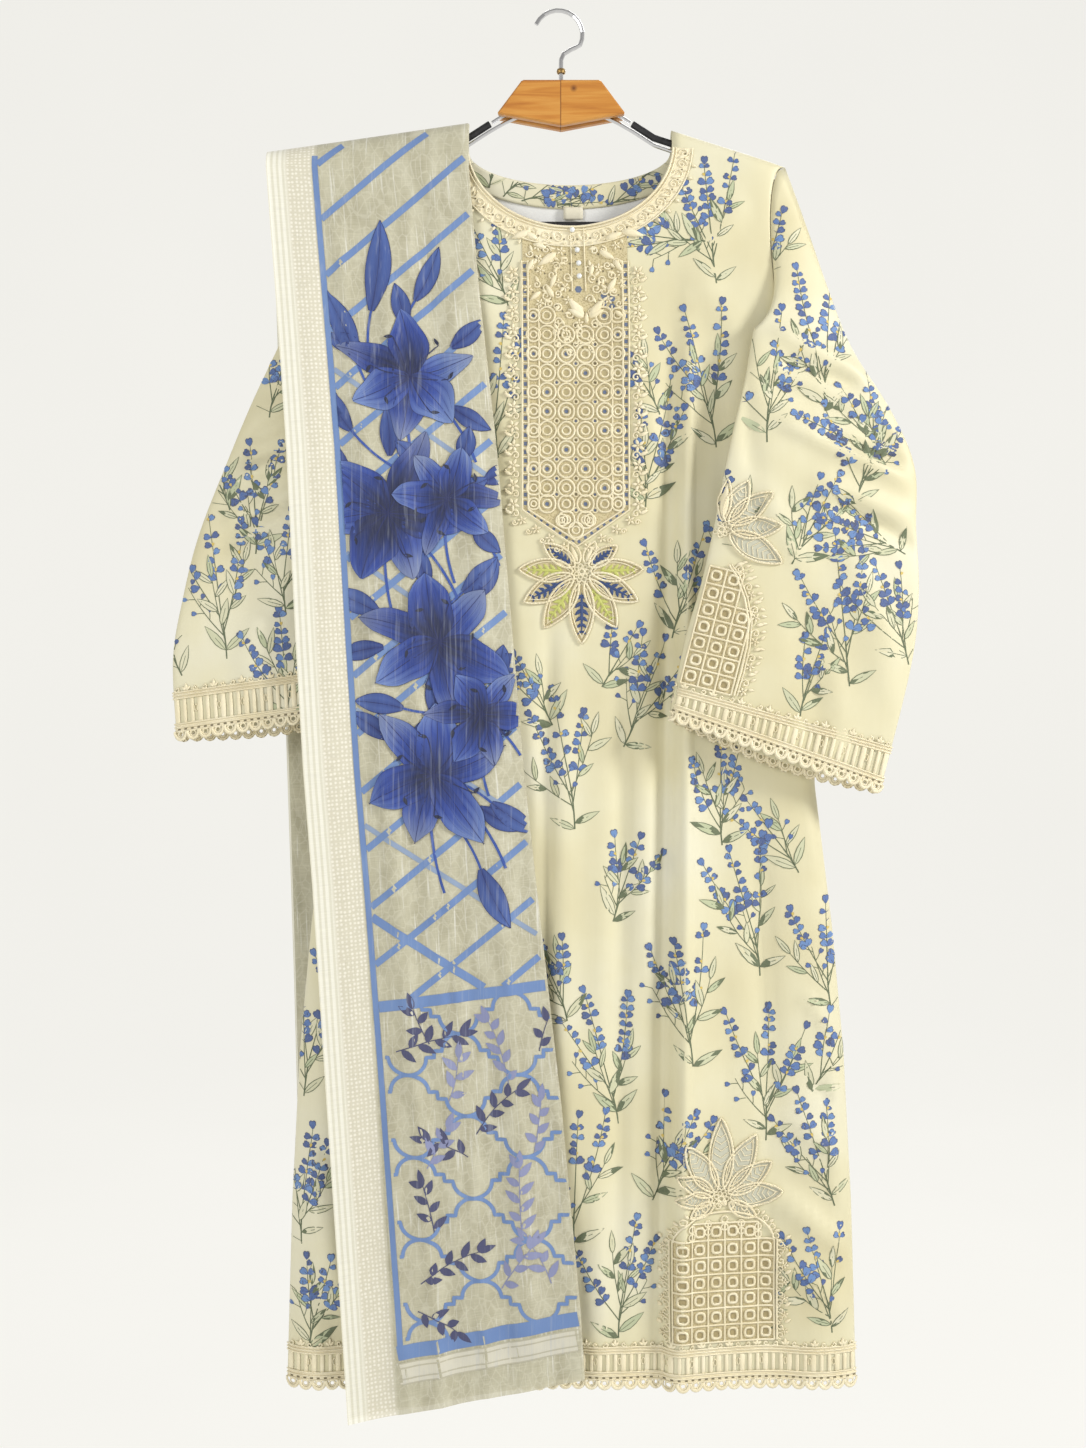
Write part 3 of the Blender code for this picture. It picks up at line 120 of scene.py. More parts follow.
# Dupatta: the folded strip's edges down each fall. Depth is in front of the hanger's plane.
FALL = "z left_x right_x left_depth right_depth"
FRONT_FALL = table(FALL, """
    -150 -278 -94 22 21, -268 -268 -85 37 25, -415 -256 -69 53 30, -581 -247.5 -55 56 34,
    -700 -241 -45 53 34, -802 -234 -34 45 34, -1004 -222 -11 37 36, -1188 -210 6 35 38,
    -1303 -202.5 13 35 40""")
BACK_FALL = table(FALL, """
    -150 -279.5 -96 21 19, -300 -276.5 -90 27 25, -680 -269 -72 30 29, -900 -262 -60 30 30,
    -1204 -254 -45 30 31""")
RIDGE_RIGHT_Z, RIDGE_SLOPE, RIDGE_RIGHT_X = -0.1056, 0.150, -0.0957
FRONT_FALL_BOTTOM, BACK_FALL_BOTTOM = (-1.2935, -1.2525), (-1.204, -1.190)
FALL_TURN = 0.060
# The strip is folded twice, so it hangs four layers deep. Each layer is set in from the left by this
# share of the width, and stops this much above the front layer's end.
LAYERS = table("inset lift", "0 0, 30 9, 12 6, 12 3")

# Yoke of ringed lace below the neck.
YOKE_X, YOKE_SIDE_END_Z, YOKE_POINT_Z = 0.0037, -0.455, -0.494

# Flowers of applied petals: a centre, and each petal's angle in degrees from +X and reach from the centre.
PETAL_ROW = "angle reach"
YOKE_FLOWER = (0.009, -0.5195), table(PETAL_ROW, """
    2 .056, 36 .040, 144 .043, 178 .058, 208 .060, 236 .062, 270 .066, 302 .060, 332 .058""", 1)
HEM_FLOWER = (0.1358, -1.0920), table(PETAL_ROW, """
    6 .057, 35 .057, 61 .066, 90 .074, 124 .060, 151 .045, 180 .041, 208 .034, 332 .036""", 1)
SLEEVE_FLOWER = (0.1345, -0.4838), table(PETAL_ROW, "-29 .062, 3 .054, 36 .056, 61 .050", 1)


def smooth(t):
    """0 below 0, 1 above 1, and an even ease between."""
    t = min(1.0, max(0.0, t))
    return t * t * (3 - 2 * t)


def mix(a, b, t):
    return a + (b - a) * t


def round_over(t):
    """A quarter round: 0 at 0, 1 from 1 on."""
    return sqrt(1 - (1 - min(1.0, max(0.0, t))) ** 2)


def polar(x, z, reach, angle):
    return x + reach * cos(angle), z + reach * sin(angle)


def row_at(rows, z):
    """The table's row at height z, eased between the rows above and below it."""
    if z >= rows[0].z:
        return rows[0]
    for upper, lower in zip(rows, rows[1:]):
        if z >= lower.z:
            t = (upper.z - z) / (upper.z - lower.z)
            return type(upper)(*(mix(a, b, t) for a, b in zip(upper, lower)))
    return rows[-1]


def between_rows(rows, place):
    """The table's row at a place from 0 to 1 along it, on a smooth curve through all its rows."""
    place = min(len(rows) - 1.0, max(0.0, place * (len(rows) - 1)))
    i = min(int(place), len(rows) - 2)
    t = place - i
    near = rows[max(i - 1, 0)], rows[i], rows[i + 1], rows[min(i + 2, len(rows) - 1)]
    return type(rows[0])(*(
        0.5 * (2 * b + (c - a) * t + (2 * a - 5 * b + 4 * c - d) * t * t + (3 * b - a - 3 * c + d) * t ** 3)
        for a, b, c, d in zip(*near)
    ))


def suit_x(z):
    """The kameez's centre line, which leans a little to the right on its way down."""
    return mix(SUIT_X_AT_NECK, SUIT_X_AT_HEM, smooth((NECK_Z - z) / 0.25))


def armhole_angle(z):
    """How far round the armhole a height is: 0 at the shoulder and pi at the armpit."""
    return acos(1 - 2 * min(1.0, max(0.0, (SHOULDER_Z - z) / (SHOULDER_Z - ARMPIT_Z))))


def side_line(z):
    """Half the kameez's width at a height before the armhole is scooped out of it, and the scoop's depth."""
    if z >= ARMPIT_Z:
        angle = armhole_angle(z)
        unscooped = mix(SHOULDER_HALF_WIDTH, ARMPIT_HALF_WIDTH, (1 - cos(angle)) / 2)
        return unscooped, ARMHOLE_SCOOP * sin(angle)
    return row_at(BODY, z).half_width, 0.0


def half_width(z):
    unscooped, scoop = side_line(z)
    return unscooped - scoop


def shoulder_z(x):
    return NECK_Z - SHOULDER_SLOPE * max(0.0, abs(x) - NECK_HALF_WIDTH)


def crest_x(fold, z):
    return mix(fold.crest_top, fold.crest_hem, smooth((fold.start_z - z) / (fold.start_z - HEM_Z)))


def fold_height(folds, x, z):
    """How far the folds lift the cloth at a point: each is a crest with a slope on either side."""
    total = 0.0
    for fold in folds:
        grown = smooth((fold.start_z - z) / (fold.start_z - fold.full_z))
        crest = crest_x(fold, z)
        away = min(1.0, abs(x - crest) / (fold.left_width if x < crest else fold.right_width))
        total += fold.height * grown * (1 + cos(pi * away)) / 2
    return total


def body_depth(x, z, is_front):
    """How far the front or back stands from the hanger's plane, rounding out from nothing at the seams."""
    row = row_at(BODY, z)
    over_shoulder = round_over((shoulder_z(x) - z) / SHOULDER_ROLL)
    into_side = max(0.0, abs(x) - (half_width(z) - SIDE_ROLL)) / SIDE_ROLL
    edge = row.edge_share
    if ARMPIT_Z < z < SHOULDER_Z:
        edge = 0.9 * sqrt(sin(armhole_angle(z)))
    across = edge + (1 - edge) * sqrt(max(0.0, 1 - into_side ** 2))
    depth = row.front_depth if is_front else row.back_depth
    return (depth + fold_height(FRONT_FOLDS if is_front else BACK_FOLDS, x, z)) * over_shoulder * across


def neckline_z(x, drop):
    """The neck edge over x: half an ellipse between the two neck points."""
    return NECK_CURVE_Z - drop * sqrt(1 - min(1.0, abs(x) / NECK_HALF_WIDTH) ** 2)


def spread_x(top_x, z):
    """Where a column that starts at top_x is at height z, spread with the cloth between its sides."""
    share = top_x / SHOULDER_HALF_WIDTH
    unscooped, scoop = side_line(z)
    return share * (unscooped - scoop * abs(share) ** 3)


def column_x(top_x, z, follows_crease):
    """Where a column is at height z. On the front's right half the columns keep to the crease."""
    x = spread_x(top_x, z)
    if not follows_crease or top_x <= 0:
        return x
    from_x, side_x = spread_x(CREASE_TOP_X, z), half_width(z)
    neck_bottom_z = NECK_CURVE_Z - FRONT_NECK_DROP
    onto_crest = smooth((neck_bottom_z - z) / (neck_bottom_z - CREASE_START_Z))
    crease_x = mix(from_x, crest_x(FRONT_FOLDS[0], z), onto_crest)
    if top_x <= CREASE_TOP_X:
        return x * crease_x / from_x
    return mix(crease_x, side_x, (x - from_x) / (side_x - from_x))


def eased_steps(count):
    """0 to 1 in count steps, closer together at both ends."""
    return [(1 - cos(pi * i / count)) / 2 for i in range(count)]


def sleeve_ring(row, side):
    """One section of the hanging sleeve: over the front to the turned edge, under it, and back behind."""
    outer = Vector((row.outer_x, row.outer_y, row.outer_z))
    edge = Vector((row.edge_x, row.edge_y, row.edge_z))
    inner = Vector((row.inner_x, row.inner_y, row.inner_z))
    ring = []
    for share in eased_steps(SLEEVE_FRONT_STEPS):
        swell = row.front_swell * (4 * share * (1 - share)) ** 0.5
        ring.append(outer.lerp(edge, share) - Vector((0, swell, 0)))
    ring += [edge.lerp(inner, i / SLEEVE_EDGE_STEPS) for i in range(SLEEVE_EDGE_STEPS)]
    for share in eased_steps(SLEEVE_BACK_STEPS):
        swell = row.back_swell * (4 * share * (1 - share)) ** 0.5
        ring.append(inner.lerp(outer, share) + Vector((0, swell, -row.back_sag * sin(pi * share))))
    return [Vector((side * p.x + suit_x(p.z), p.y, p.z)) for p in ring]


def ridge_z(x):
    return RIDGE_RIGHT_Z - RIDGE_SLOPE * (RIDGE_RIGHT_X - x)


def strip_point(across, place):
    """A point of the folded strip's middle. place is 0 on the shoulder's ridge, -1 and 1 at its two ends."""
    if place <= 0:
        side, rows, bottom = -1, FRONT_FALL, FRONT_FALL_BOTTOM
    else:
        side, rows, bottom = 1, BACK_FALL, BACK_FALL_BOTTOM
    place = abs(place)
    top = rows[0]
    if place < FALL_TURN:
        x = mix(top.left_x, top.right_x, across)
        angle = pi / 2 * place / FALL_TURN
        z = ridge_z(x) - (ridge_z(x) - top.z) * (1 - cos(angle))
        return Vector((x, side * mix(top.left_depth, top.right_depth, across) * sin(angle) ** 0.8, z))
    share = (place - FALL_TURN) / (1 - FALL_TURN)
    z = mix(top.z, mix(*bottom, across), share)
    row = row_at(rows, z)
    depth = mix(row.left_depth, row.right_depth, across ** 1.6)
    ripple = 0.0016 * smooth(share * 3) * sin(2 * pi * (2.6 * across + 0.35 * share))
    return Vector((mix(row.left_x, row.right_x, across), side * (depth + ripple), z))


# Tools ------------------------------------------------------------------------------------------------

rng = random.Random(7)
FABRIC = 0.0007
BLACK, WHITE = (0, 0, 0, 1), (1, 1, 1, 1)


def rgb(*screen):
    """A colour given from 0 to 255 as a screen shows it, as the light values that the shaders take."""
    shares = [c / 255 for c in screen]
    return (*(c / 12.92 if c <= 0.04045 else ((c + 0.055) / 1.055) ** 2.4 for c in shares), 1.0)


class Shader:
    """A material under construction. A node's inputs are values or the sockets that feed them."""

    def __init__(self, name, **settings):
        self.made = bpy.data.materials.new(name)
        self.made.use_nodes = True
        self.tree = self.made.node_tree
        self.main = self.tree.nodes["Principled BSDF"]
        self.put(self.main, settings)

    def put(self, node, values):
        for key, value in values.items():
            if isinstance(value, bpy.types.NodeSocket):
                self.tree.links.new(value, node.inputs[key])
            else:
                node.inputs[key].default_value = value

    def node(self, kind, inputs, out=0, **options):
        """One output of a new node."""
        made = self.tree.nodes.new("ShaderNode" + kind)
        for key, value in options.items():
            setattr(made, key, value)
        self.put(made, inputs)
        return made.outputs[out]

    def place(self, scale, source="Object"):
        """Coordinates stretched by scale. source is a kind of coordinates, or a socket of them."""
        if isinstance(source, str):
            source = self.node("TexCoord", {}, source)
        return self.node("Mapping", {
            "Vector": source, "Scale": scale if isinstance(scale, tuple) else (scale,) * 3,
        })

    def noise(self, scale, detail=3.0, source="Object", distortion=0.0):
        return self.node("TexNoise", {
            "Vector": self.place(scale, source), "Scale": 1.0, "Detail": detail, "Distortion": distortion,
        }, "Fac")

    def dots(self, scale, source="Object", evenness=0.0, feature="F1"):
        return self.node("TexVoronoi", {
            "Vector": self.place(scale, source), "Scale": 1.0, "Randomness": 1 - evenness,
        }, "Distance", feature=feature)

    def ramp(self, factor, *stops):
        """A smooth colour scale of (place, colour) stops."""
        made = self.node("ValToRGB", {"Fac": factor}).node
        elements = made.color_ramp.elements
        while len(elements) < len(stops):
            elements.new(0.5)
        for element, (place, colour) in zip(elements, stops):
            element.position, element.color = place, colour
        return made.outputs["Color"]

    def blend(self, factor, first, second, mode="MIX"):
        return self.node("Mix", {0: factor, 6: first, 7: second}, 2, data_type="RGBA", blend_type=mode)

    def tint(self, base, pattern, share, colour, mode="MIX"):
        """A base with a share of a colour laid on where the pattern is."""
        return self.blend(self.math("MULTIPLY", pattern, share), base, colour, mode)

    def math(self, operation, *values, clamp=False):
        return self.node("Math", dict(enumerate(values)), operation=operation, use_clamp=clamp)

    def bump(self, height, strength, distance, **below):
        return self.node("Bump", {"Height": height, "Strength": strength, "Distance": distance, **below})

    def done(self, values):
        self.put(self.main, values)
        return self.made


def show(name, data):
    """A new object in the scene."""
    made = bpy.data.objects.new(name, data)
    bpy.context.scene.collection.objects.link(made)
    return made


def smooth_mesh(name, points, faces, finish):
    mesh = bpy.data.meshes.new(name)
    mesh.from_pydata([tuple(p) for p in points], [], faces)
    mesh.materials.append(finish)
    mesh.polygons.foreach_set("use_smooth", [True] * len(mesh.polygons))
    return mesh


def add_mesh(name, points, faces, finish, colours=None, uvs=None):
    """A shown object that rides on the root body."""
    mesh = smooth_mesh(name, points, faces, finish)
    if colours is not None:
        layer = mesh.color_attributes.new("Dye", "FLOAT_COLOR", "POINT")
        layer.data.foreach_set("color", [c for colour in colours for c in colour])
    if uvs is not None:
        layer = mesh.uv_layers.new(name="Cloth")
        layer.data.foreach_set("uv", [c for loop in mesh.loops for c in uvs[loop.vertex_index]])
    mesh.update()
    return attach(show(name, mesh), "root")


def loop_faces(start, count, rows):
    """Quads between closed rows of count points, that lie one after another from start."""
    return [
        (r + i, r + (i + 1) % count, r + count + (i + 1) % count, r + count + i)
        for r in range(start, start + count * (rows - 1), count) for i in range(count)
    ]


def cells(rows, columns, closed=False, kept=lambda r, c: True):
    """Quads of a grid of points, row by row."""
    return [
        (r * columns + c, r * columns + (c + 1) % columns, (r + 1) * columns + (c + 1) % columns,
         (r + 1) * columns + c)
        for r in range(rows - 1) for c in range(columns if closed else columns - 1) if kept(r, c)
    ]


def cloth_mesh(name, points, faces, finish, thickness=FABRIC, **more):
    """A thin shell round a middle surface, in the place of the CAD node of that name."""
    piece = add_mesh(name + "_cloth", points, faces, finish, **more)
    if thickness:
        shell = piece.modifiers.new("thickness", "SOLIDIFY")
        shell.thickness, shell.offset = thickness, 0.0
    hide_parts(name)
    return piece


def tree_of(points, faces):
    return BVHTree.FromPolygons([tuple(p) for p in points], faces)


class Surface:
    """A cloth's middle surface, seen square from the front (side -1) or from behind (side 1)."""

    def __init__(self, tree, side, thickness=FABRIC):
        self.tree, self.side, self.half = tree, side, thickness / 2

    def at(self, x, z, rise):
        """The point rise above the cloth at (x, z) and the way it faces, or None off its edge."""
        hit, normal, _, _ = self.tree.ray_cast(Vector((x, self.side, z)), Vector((0, -self.side, 0)))
        if hit is None:
            return None
        if normal.y * self.side < 0:
            normal = -normal
        return hit + normal * (self.half + rise), normal


# Cloth --------------------------------------------------------------------------------------------------

# Small creases that the cloth hangs in: the two ends of each ridge, its half width, and its height.
CREASE = "x0 z0 x1 z1 half_width height"
FRONT_CREASES = table(CREASE, """
    107 -300 100 -1240 7 3.4, 90 -330 83 -1225 9 -5, 47 -620 40 -1235 9 -3, 172 -760 180 -1225 10 -3.4,
    -20 -560 -30 -1150 8 -3, 128 -300 150 -560 13 -1.8, 215 -700 228 -800 6 2, 212 -905 236 -940 5 2.2,
    218 -985 240 -1010 5 -2, 180 -1085 252 -1140 9 2.6, -255 -1020 -228 -1075 7 2.2,
    205 -1020 262 -1075 10 3, 190 -1062 255 -1118 13 -2.2, 200 -1150 258 -1205 11 2.6,
    236 -800 243 -1150 6 1.6, -245 -1050 -205 -1190 12 2.8, -250 -1130 -215 -1225 10 -2,
    40 -260 75 -420 12 1.4, 115 -240 165 -330 14 1.6, 60 -560 72 -900 12 1.8, -10 -620 -4 -1150 13 2,
    130 -640 146 -1000 16 -1.6, 150 -860 190 -1190 18 2.4, 5 -950 30 -1220 14 1.8,
    -60 -520 -72 -1050 16 1.8, -160 -420 -150 -820 18 2, 160 -180 120 -225 10 1.2,
    -85 -250 -60 -330 10 1.2""")
BACK_CREASES = table(CREASE, """
    -200 -960 -246 -1060 12 2.6, 190 -980 245 -1080 14 -2.4, 185 -1110 250 -1190 11 2.8,
    -60 -420 -74 -1020 16 2.2, 60 -360 52 -900 14 1.8, 0 -700 18 -1200 15 2.2,
    -130 -220 -150 -340 12 1.4, 140 -200 160 -360 13 1.6, -180 -560 -190 -900 12 1.6,
    100 -800 112 -1230 18 2.4""")
SLEEVE_CREASES = table(CREASE, """
    190 -330 262 -352 6 -3, 225 -398 300 -420 6 -3.2, 236 -455 318 -500 7 -2.6, 148 -300 168 -480 9 -2.2,
    232 -600 246 -690 9 1.8, 180 -300 280 -345 8 2.8, 170 -345 300 -405 10 -2.4, 185 -385 308 -440 8 3.4,
    215 -440 312 -475 10 2.6, 160 -430 210 -520 9 2, 255 -500 290 -640 14 2.2, 205 -540 225 -670 13 -1.8,
    170 -260 205 -240 9 1.8, 280 -560 300 -610 8 1.6""")
DUPATTA_CREASES = table(CREASE, """
    60 -150 75 -900 6 1.6, 98 -200 112 -1230 7 2, 136 -130 150 -700 8 -1.6, 165 -300 172 -1200 6 1.8,
    30 -250 28 -1050 5 1, 120 -700 128 -1270 6 2.2, 80 -900 86 -1280 6 1.8, 150 -950 146 -1260 7 -1.6,
    55 -1000 52 -1290 6 1.4""")
CREASE_DEPTH = 1.9


def creased(creases, x, z):
    """The height of all the small creases at a point, with a little unevenness of the whole cloth."""
    total = 0.0016 * noise.noise(Vector((x * 14, z * 9, 3.7)))
    total += 0.0007 * noise.noise(Vector((x * 40, z * 22, 9.1)))
    for c in creases:
        dx, dz = c.x1 - c.x0, c.z1 - c.z0
        length = dx * dx + dz * dz
        along = ((x - c.x0) * dx + (z - c.z0) * dz) / length
        if not -0.1 < along < 1.1:
            continue
        off = abs((x - c.x0) * dz - (z - c.z0) * dx) / sqrt(length) / c.half_width
        if off < 2.5:
            total += CREASE_DEPTH * c.height * exp(-off * off) * smooth(min(along + 0.1, 1.1 - along) * 4)
    return total


NECK_ANGLES = (0, 2.5, 5.5, 9, 13, 17.5, 22.5, 28)
NECK_STEPS, SHOULDER_STEPS = 18, 18
NECK_SHARE = 0.060
# Shares of the way from the top edge to the armpit, at which the upper rows lie.
TOP_SHARES = [n / 1000 for n in (
    0, 3, 7, 13, 22, 33, 46, 60, 80, 100, 125, 150, 180, 210, 245, 280, 315, 350, *range(390, 550, 40),
    *range(550, 1001, 50),
)]
LOWER_ROWS = 168


def panel_columns():
    """Top-edge places of the fine grid's columns, left to right."""
    neck = [NECK_HALF_WIDTH * cos(radians(a)) for a in NECK_ANGLES]
    neck += [neck[-1] * (1 - i / NECK_STEPS) for i in range(1, NECK_STEPS + 1)]
    reach = SHOULDER_HALF_WIDTH - NECK_HALF_WIDTH
    half = [
        NECK_HALF_WIDTH + reach * sin(pi / 2 * i / SHOULDER_STEPS) for i in range(SHOULDER_STEPS, 0, -1)
    ] + neck
    return [-x for x in half] + half[-2::-1]


def in_neck(top_x):
    return abs(top_x) < NECK_HALF_WIDTH - 1e-6


def make_panel(name, is_front, finish):
    """The front or back, its grid of points, and its surface."""
    drop, creases, side = (
        (FRONT_NECK_DROP, FRONT_CREASES, -1) if is_front else (BACK_NECK_DROP, BACK_CREASES, 1)
    )
    columns = panel_columns()
    grid = []
    for r in range(len(TOP_SHARES) + LOWER_ROWS):
        line = []
        for top_x in columns:
            if r >= len(TOP_SHARES):
                z = mix(ARMPIT_Z, HEM_Z, (r + 1 - len(TOP_SHARES)) / LOWER_ROWS)
            elif in_neck(top_x):
                below = max(0.0, TOP_SHARES[r] - NECK_SHARE) / (1 - NECK_SHARE)
                z = mix(neckline_z(top_x, drop), ARMPIT_Z, below)
            else:
                z = mix(shoulder_z(top_x), ARMPIT_Z, TOP_SHARES[r])
            x = column_x(top_x, z, is_front)
            away = smooth((half_width(z) - abs(x)) / 0.020) * smooth((shoulder_z(x) - z) / 0.03)
            depth = body_depth(x, z, is_front) + creased(creases, x, z) * away
            line.append(Vector((x + suit_x(z), side * (depth + SEAM_GAP / 2), z)))
        grid.append(line)
    curve_row = TOP_SHARES.index(NECK_SHARE)

    def is_cloth(r, c):
        return r >= curve_row or not (in_neck(columns[c]) or in_neck(columns[c + 1]))

    points = sum(grid, [])
    faces = cells(len(grid), len(columns), kept=is_cloth)
    if is_front:
        faces = [f[::-1] for f in faces]
    used = sorted({i for f in faces for i in f})
    place = {old: new for new, old in enumerate(used)}
    piece = cloth_mesh(name, [points[i] for i in used], [tuple(place[i] for i in f) for f in faces], finish)
    return grid, Surface(tree_of(points, faces), side)


def make_sleeve(name, rows, side, front_grid, back_grid, finish):
    """A sleeve from its seam on the two panels' edges to its cuff, with its creases in both layers."""
    rings = [
        sleeve_ring(between_rows(rows, mix(FIRST_RING, 1, i / (SLEEVE_RINGS - 1))), side)
        for i in range(SLEEVE_RINGS)
    ]
    count = len(rings[0])
    front_count = SLEEVE_FRONT_STEPS + SLEEVE_EDGE_STEPS
    front_edge, back_edge = (
        [line[-1 if side > 0 else 0] for line in grid[:len(TOP_SHARES)]] for grid in (front_grid, back_grid)
    )

    def on_edge(line, place):
        """The point of an armhole's edge whose height is this share of its drop."""
        z = mix(line[0].z, line[-1].z, place)
        spot = len(line) - 1
        for i in range(len(line) - 1):
            if line[i + 1].z <= z:
                spot = i + (line[i].z - z) / max(1e-9, line[i].z - line[i + 1].z)
                break
        i = min(int(spot), len(line) - 2)
        return line[i].lerp(line[i + 1], spot - i)

    seam = []
    for i in range(count):
        if i < front_count:
            point = on_edge(front_edge, 0.86 * i / (front_count - 1))
        else:
            point = on_edge(back_edge, 1 - (i - front_count) / (count - front_count))
        seam.append(point + Vector((side * 0.0009, 0, 0)))
    grid = [seam]
    for step in (0.12, 0.26, 0.42, 0.60, 0.80):
        bow = 0.0022 * sin(pi * step)
        grid.append([
            a.lerp(b, step) + Vector((0, bow * (-1 if i < SLEEVE_FRONT_STEPS else 0.3), 0))
            for i, (a, b) in enumerate(zip(seam, rings[0]))
        ])
    first = len(grid)
    grid += rings
    for r in range(first, len(grid)):
        for i, point in enumerate(grid[r]):
            is_front = i < SLEEVE_FRONT_STEPS
            within = i / SLEEVE_FRONT_STEPS if is_front else (i - front_count) / (count - front_count)
            inset = smooth(4 * min(within, 1 - within)) if 0 <= within <= 1 else 0.0
            height = creased(SLEEVE_CREASES, side * (point.x - suit_x(point.z)), point.z)
            height *= inset * smooth((r - 5) / 8) * smooth((len(grid) - r) / 10)
            point.y += -height if is_front else 0.6 * height
    points = sum(grid, [])
    faces = cells(len(grid), count, closed=True)
    if side > 0:
        faces = [f[::-1] for f in faces]
    cloth_mesh(name, points, faces, finish)
    tree = tree_of(points, faces)
    return grid, Surface(tree, -1), Surface(tree, 1)


FALL_ACROSS = 30
FRONT_ROWS, BACK_ROWS, RIDGE_ROWS = 190, 150, 14
# The layers in the order in which the one cloth runs through them. Every other one runs back.
LAYER_ORDER, LAYERS_BACK = (0, 3, 2, 1), (3, 1)


def fall_places():
    """The strip's rows, from the bottom of the back fall over the ridge to the bottom of the front."""
    def fall(steps):
        return [FALL_TURN + (1 - FALL_TURN) * i / steps for i in range(steps + 1)]

    turn = [FALL_TURN * i / RIDGE_ROWS for i in range(RIDGE_ROWS)]
    return (turn + fall(BACK_ROWS))[:0:-1] + [-p for p in turn + fall(FRONT_ROWS)]


def make_dupatta(finish):
    """The sheer cloth: four nested layers of one sheet, hung over the shoulder. Gives its two surfaces."""
    across = FALL_ACROSS
    places = fall_places()
    middle = [[strip_point(i / across, p) for i in range(across + 1)] for p in places]
    grid, uvs = [], []
    run = 0.0
    for r, (place, line) in enumerate(zip(places, middle)):
        above, below = middle[max(r - 1, 0)], middle[min(r + 1, len(middle) - 1)]
        ways = [
            (line[min(i + 1, across)] - line[max(i - 1, 0)]).cross(above[i] - below[i]).normalized()
            for i in range(across + 1)
        ]
        if r:
            run += (line[across // 2] - middle[r - 1][across // 2]).length
        is_front = place <= 0
        end_lift = smooth((abs(place) - 0.8) * 5)
        higher = middle[r - 1] if is_front else middle[r + 1]
        sections, us = [], []
        for order, layer in enumerate(LAYER_ORDER):
            one, u = [], []
            for i in range(across + 1):
                point = line[i] + ways[i] * ((SHEER + LAYER_GAP) * (1.5 - layer))
                point = point + (higher[i] - line[i]).normalized() * LAYERS[layer].lift * end_lift
                wide = line[i].x - line[0].x
                crease = creased(DUPATTA_CREASES, wide, line[i].z) if is_front else 0.0
                depth = crease * smooth(4 * min(i, across - i) / across) * smooth((abs(place) - 0.06) * 12)
                one.append(point + ways[i] * depth * (1.0 - 0.15 * layer))
                u.append(wide)
            inset = LAYERS[layer].inset * 4
            cut = round(across * 0.25)
            for i in range(cut):
                one[i] = one[i].lerp(one[cut], inset * (1 - i / cut) ** 2)
            if layer in LAYERS_BACK:
                one, u = one[::-1], u[::-1]
            if sections:
                last, following = sections[-1], one[0]
                centre = (last + following) / 2
                out = (line[-1] - line[-2]) if layer in LAYERS_BACK else (line[0] - line[1])
                for k in range(1, 4):
                    angle = pi * k / 4
                    bulge = out.normalized() * ((following - last).length / 2) * sin(angle) * 0.7
                    sections.append(centre + (last - centre) * cos(angle) + bulge)
                    us.append(u[0])
            sections += one
            us += [value + 0.3 * order for value in u]
        grid.append([p + Vector((suit_x(p.z), 0, 0)) for p in sections])
        uvs += [(u, run) for u in us]
    points = sum(grid, [])
    columns = len(grid[0])
    faces = cells(len(grid), columns)
    cloth_mesh("dupatta", points, faces, finish, 0, uvs=uvs)
    front_row = next(i for i, p in enumerate(places) if p <= 0)
    outer = [f for f in faces if f[0] % columns < across]
    upper = tree_of(points, [f for f in outer if f[0] // columns >= front_row - 6])
    lower = tree_of(points, [f for f in outer if f[0] // columns < front_row])
    return Surface(upper, -1, 0.0), Surface(lower, 1, 0.0)


# Materials ----------------------------------------------------------------------------------------------

CREAM = rgb(221, 215, 182)
JOINT_X, KNOT_X, KNOT_Z = 0.0023, 0.0143, -0.0737
BORDER_MID, BORDER_IN = 0.0185, 0.0435


def printed_ground():
    """Cream cotton satin with faint mottling and the finest weave."""
    m = Shader("cotton", Roughness=0.50)
    mottle = m.noise(6, 5.0)
    tone = m.ramp(mottle, (0.30, rgb(212, 203, 164)), (0.52, CREAM), (0.76, rgb(228, 225, 205)))
    below = m.bump(m.noise((38, 38, 14)), 0.30, 0.0012)
    return m.done({
        "Specular IOR Level": 0.36, "Sheen Weight": 0.12, "Sheen Roughness": 0.4,
        "Base Color": m.tint(tone, m.noise((160, 160, 9), 2.0), 0.12, rgb(196, 189, 154)),
        "Normal": m.bump(m.noise(2400, 1.0), 0.25, 0.0002, Normal=below),
    })


def dye():
    """Printed dye: the colour that each motif carries, worn a little uneven by the weave."""
    m = Shader("dye", Roughness=0.62)
    colour = m.node("Attribute", {}, "Color", attribute_name="Dye")
    pale = m.tint(colour, m.noise(900, 2.0), 0.24, CREAM)
    deep = m.tint(pale, m.noise(60, 2.0), 0.16, rgb(60, 80, 130), "MULTIPLY")
    return m.done({"Base Color": deep, "Specular IOR Level": 0.25})


def net_dye():
    """Dye on the open net: the yarns show through it."""
    m = Shader("net_dye", Roughness=0.6)
    tone = m.node("Attribute", {}, "Color", attribute_name="Dye")
    yarns = m.noise((1300, 1300, 50), 2.0)
    slubs = m.ramp(m.noise((380, 380, 14)), (0.56, BLACK), (0.72, WHITE))
    tone = m.tint(tone, yarns, 0.20, rgb(160, 166, 176))
    tone = m.tint(tone, slubs, 0.26, rgb(186, 192, 200))
    tone = m.tint(tone, m.noise((26, 26, 20), 4.0), 0.35, rgb(60, 92, 170), "MULTIPLY")
    return m.done({"Base Color": tone, "Specular IOR Level": 0.25, "Normal": m.bump(yarns, 0.3, 0.0004)})


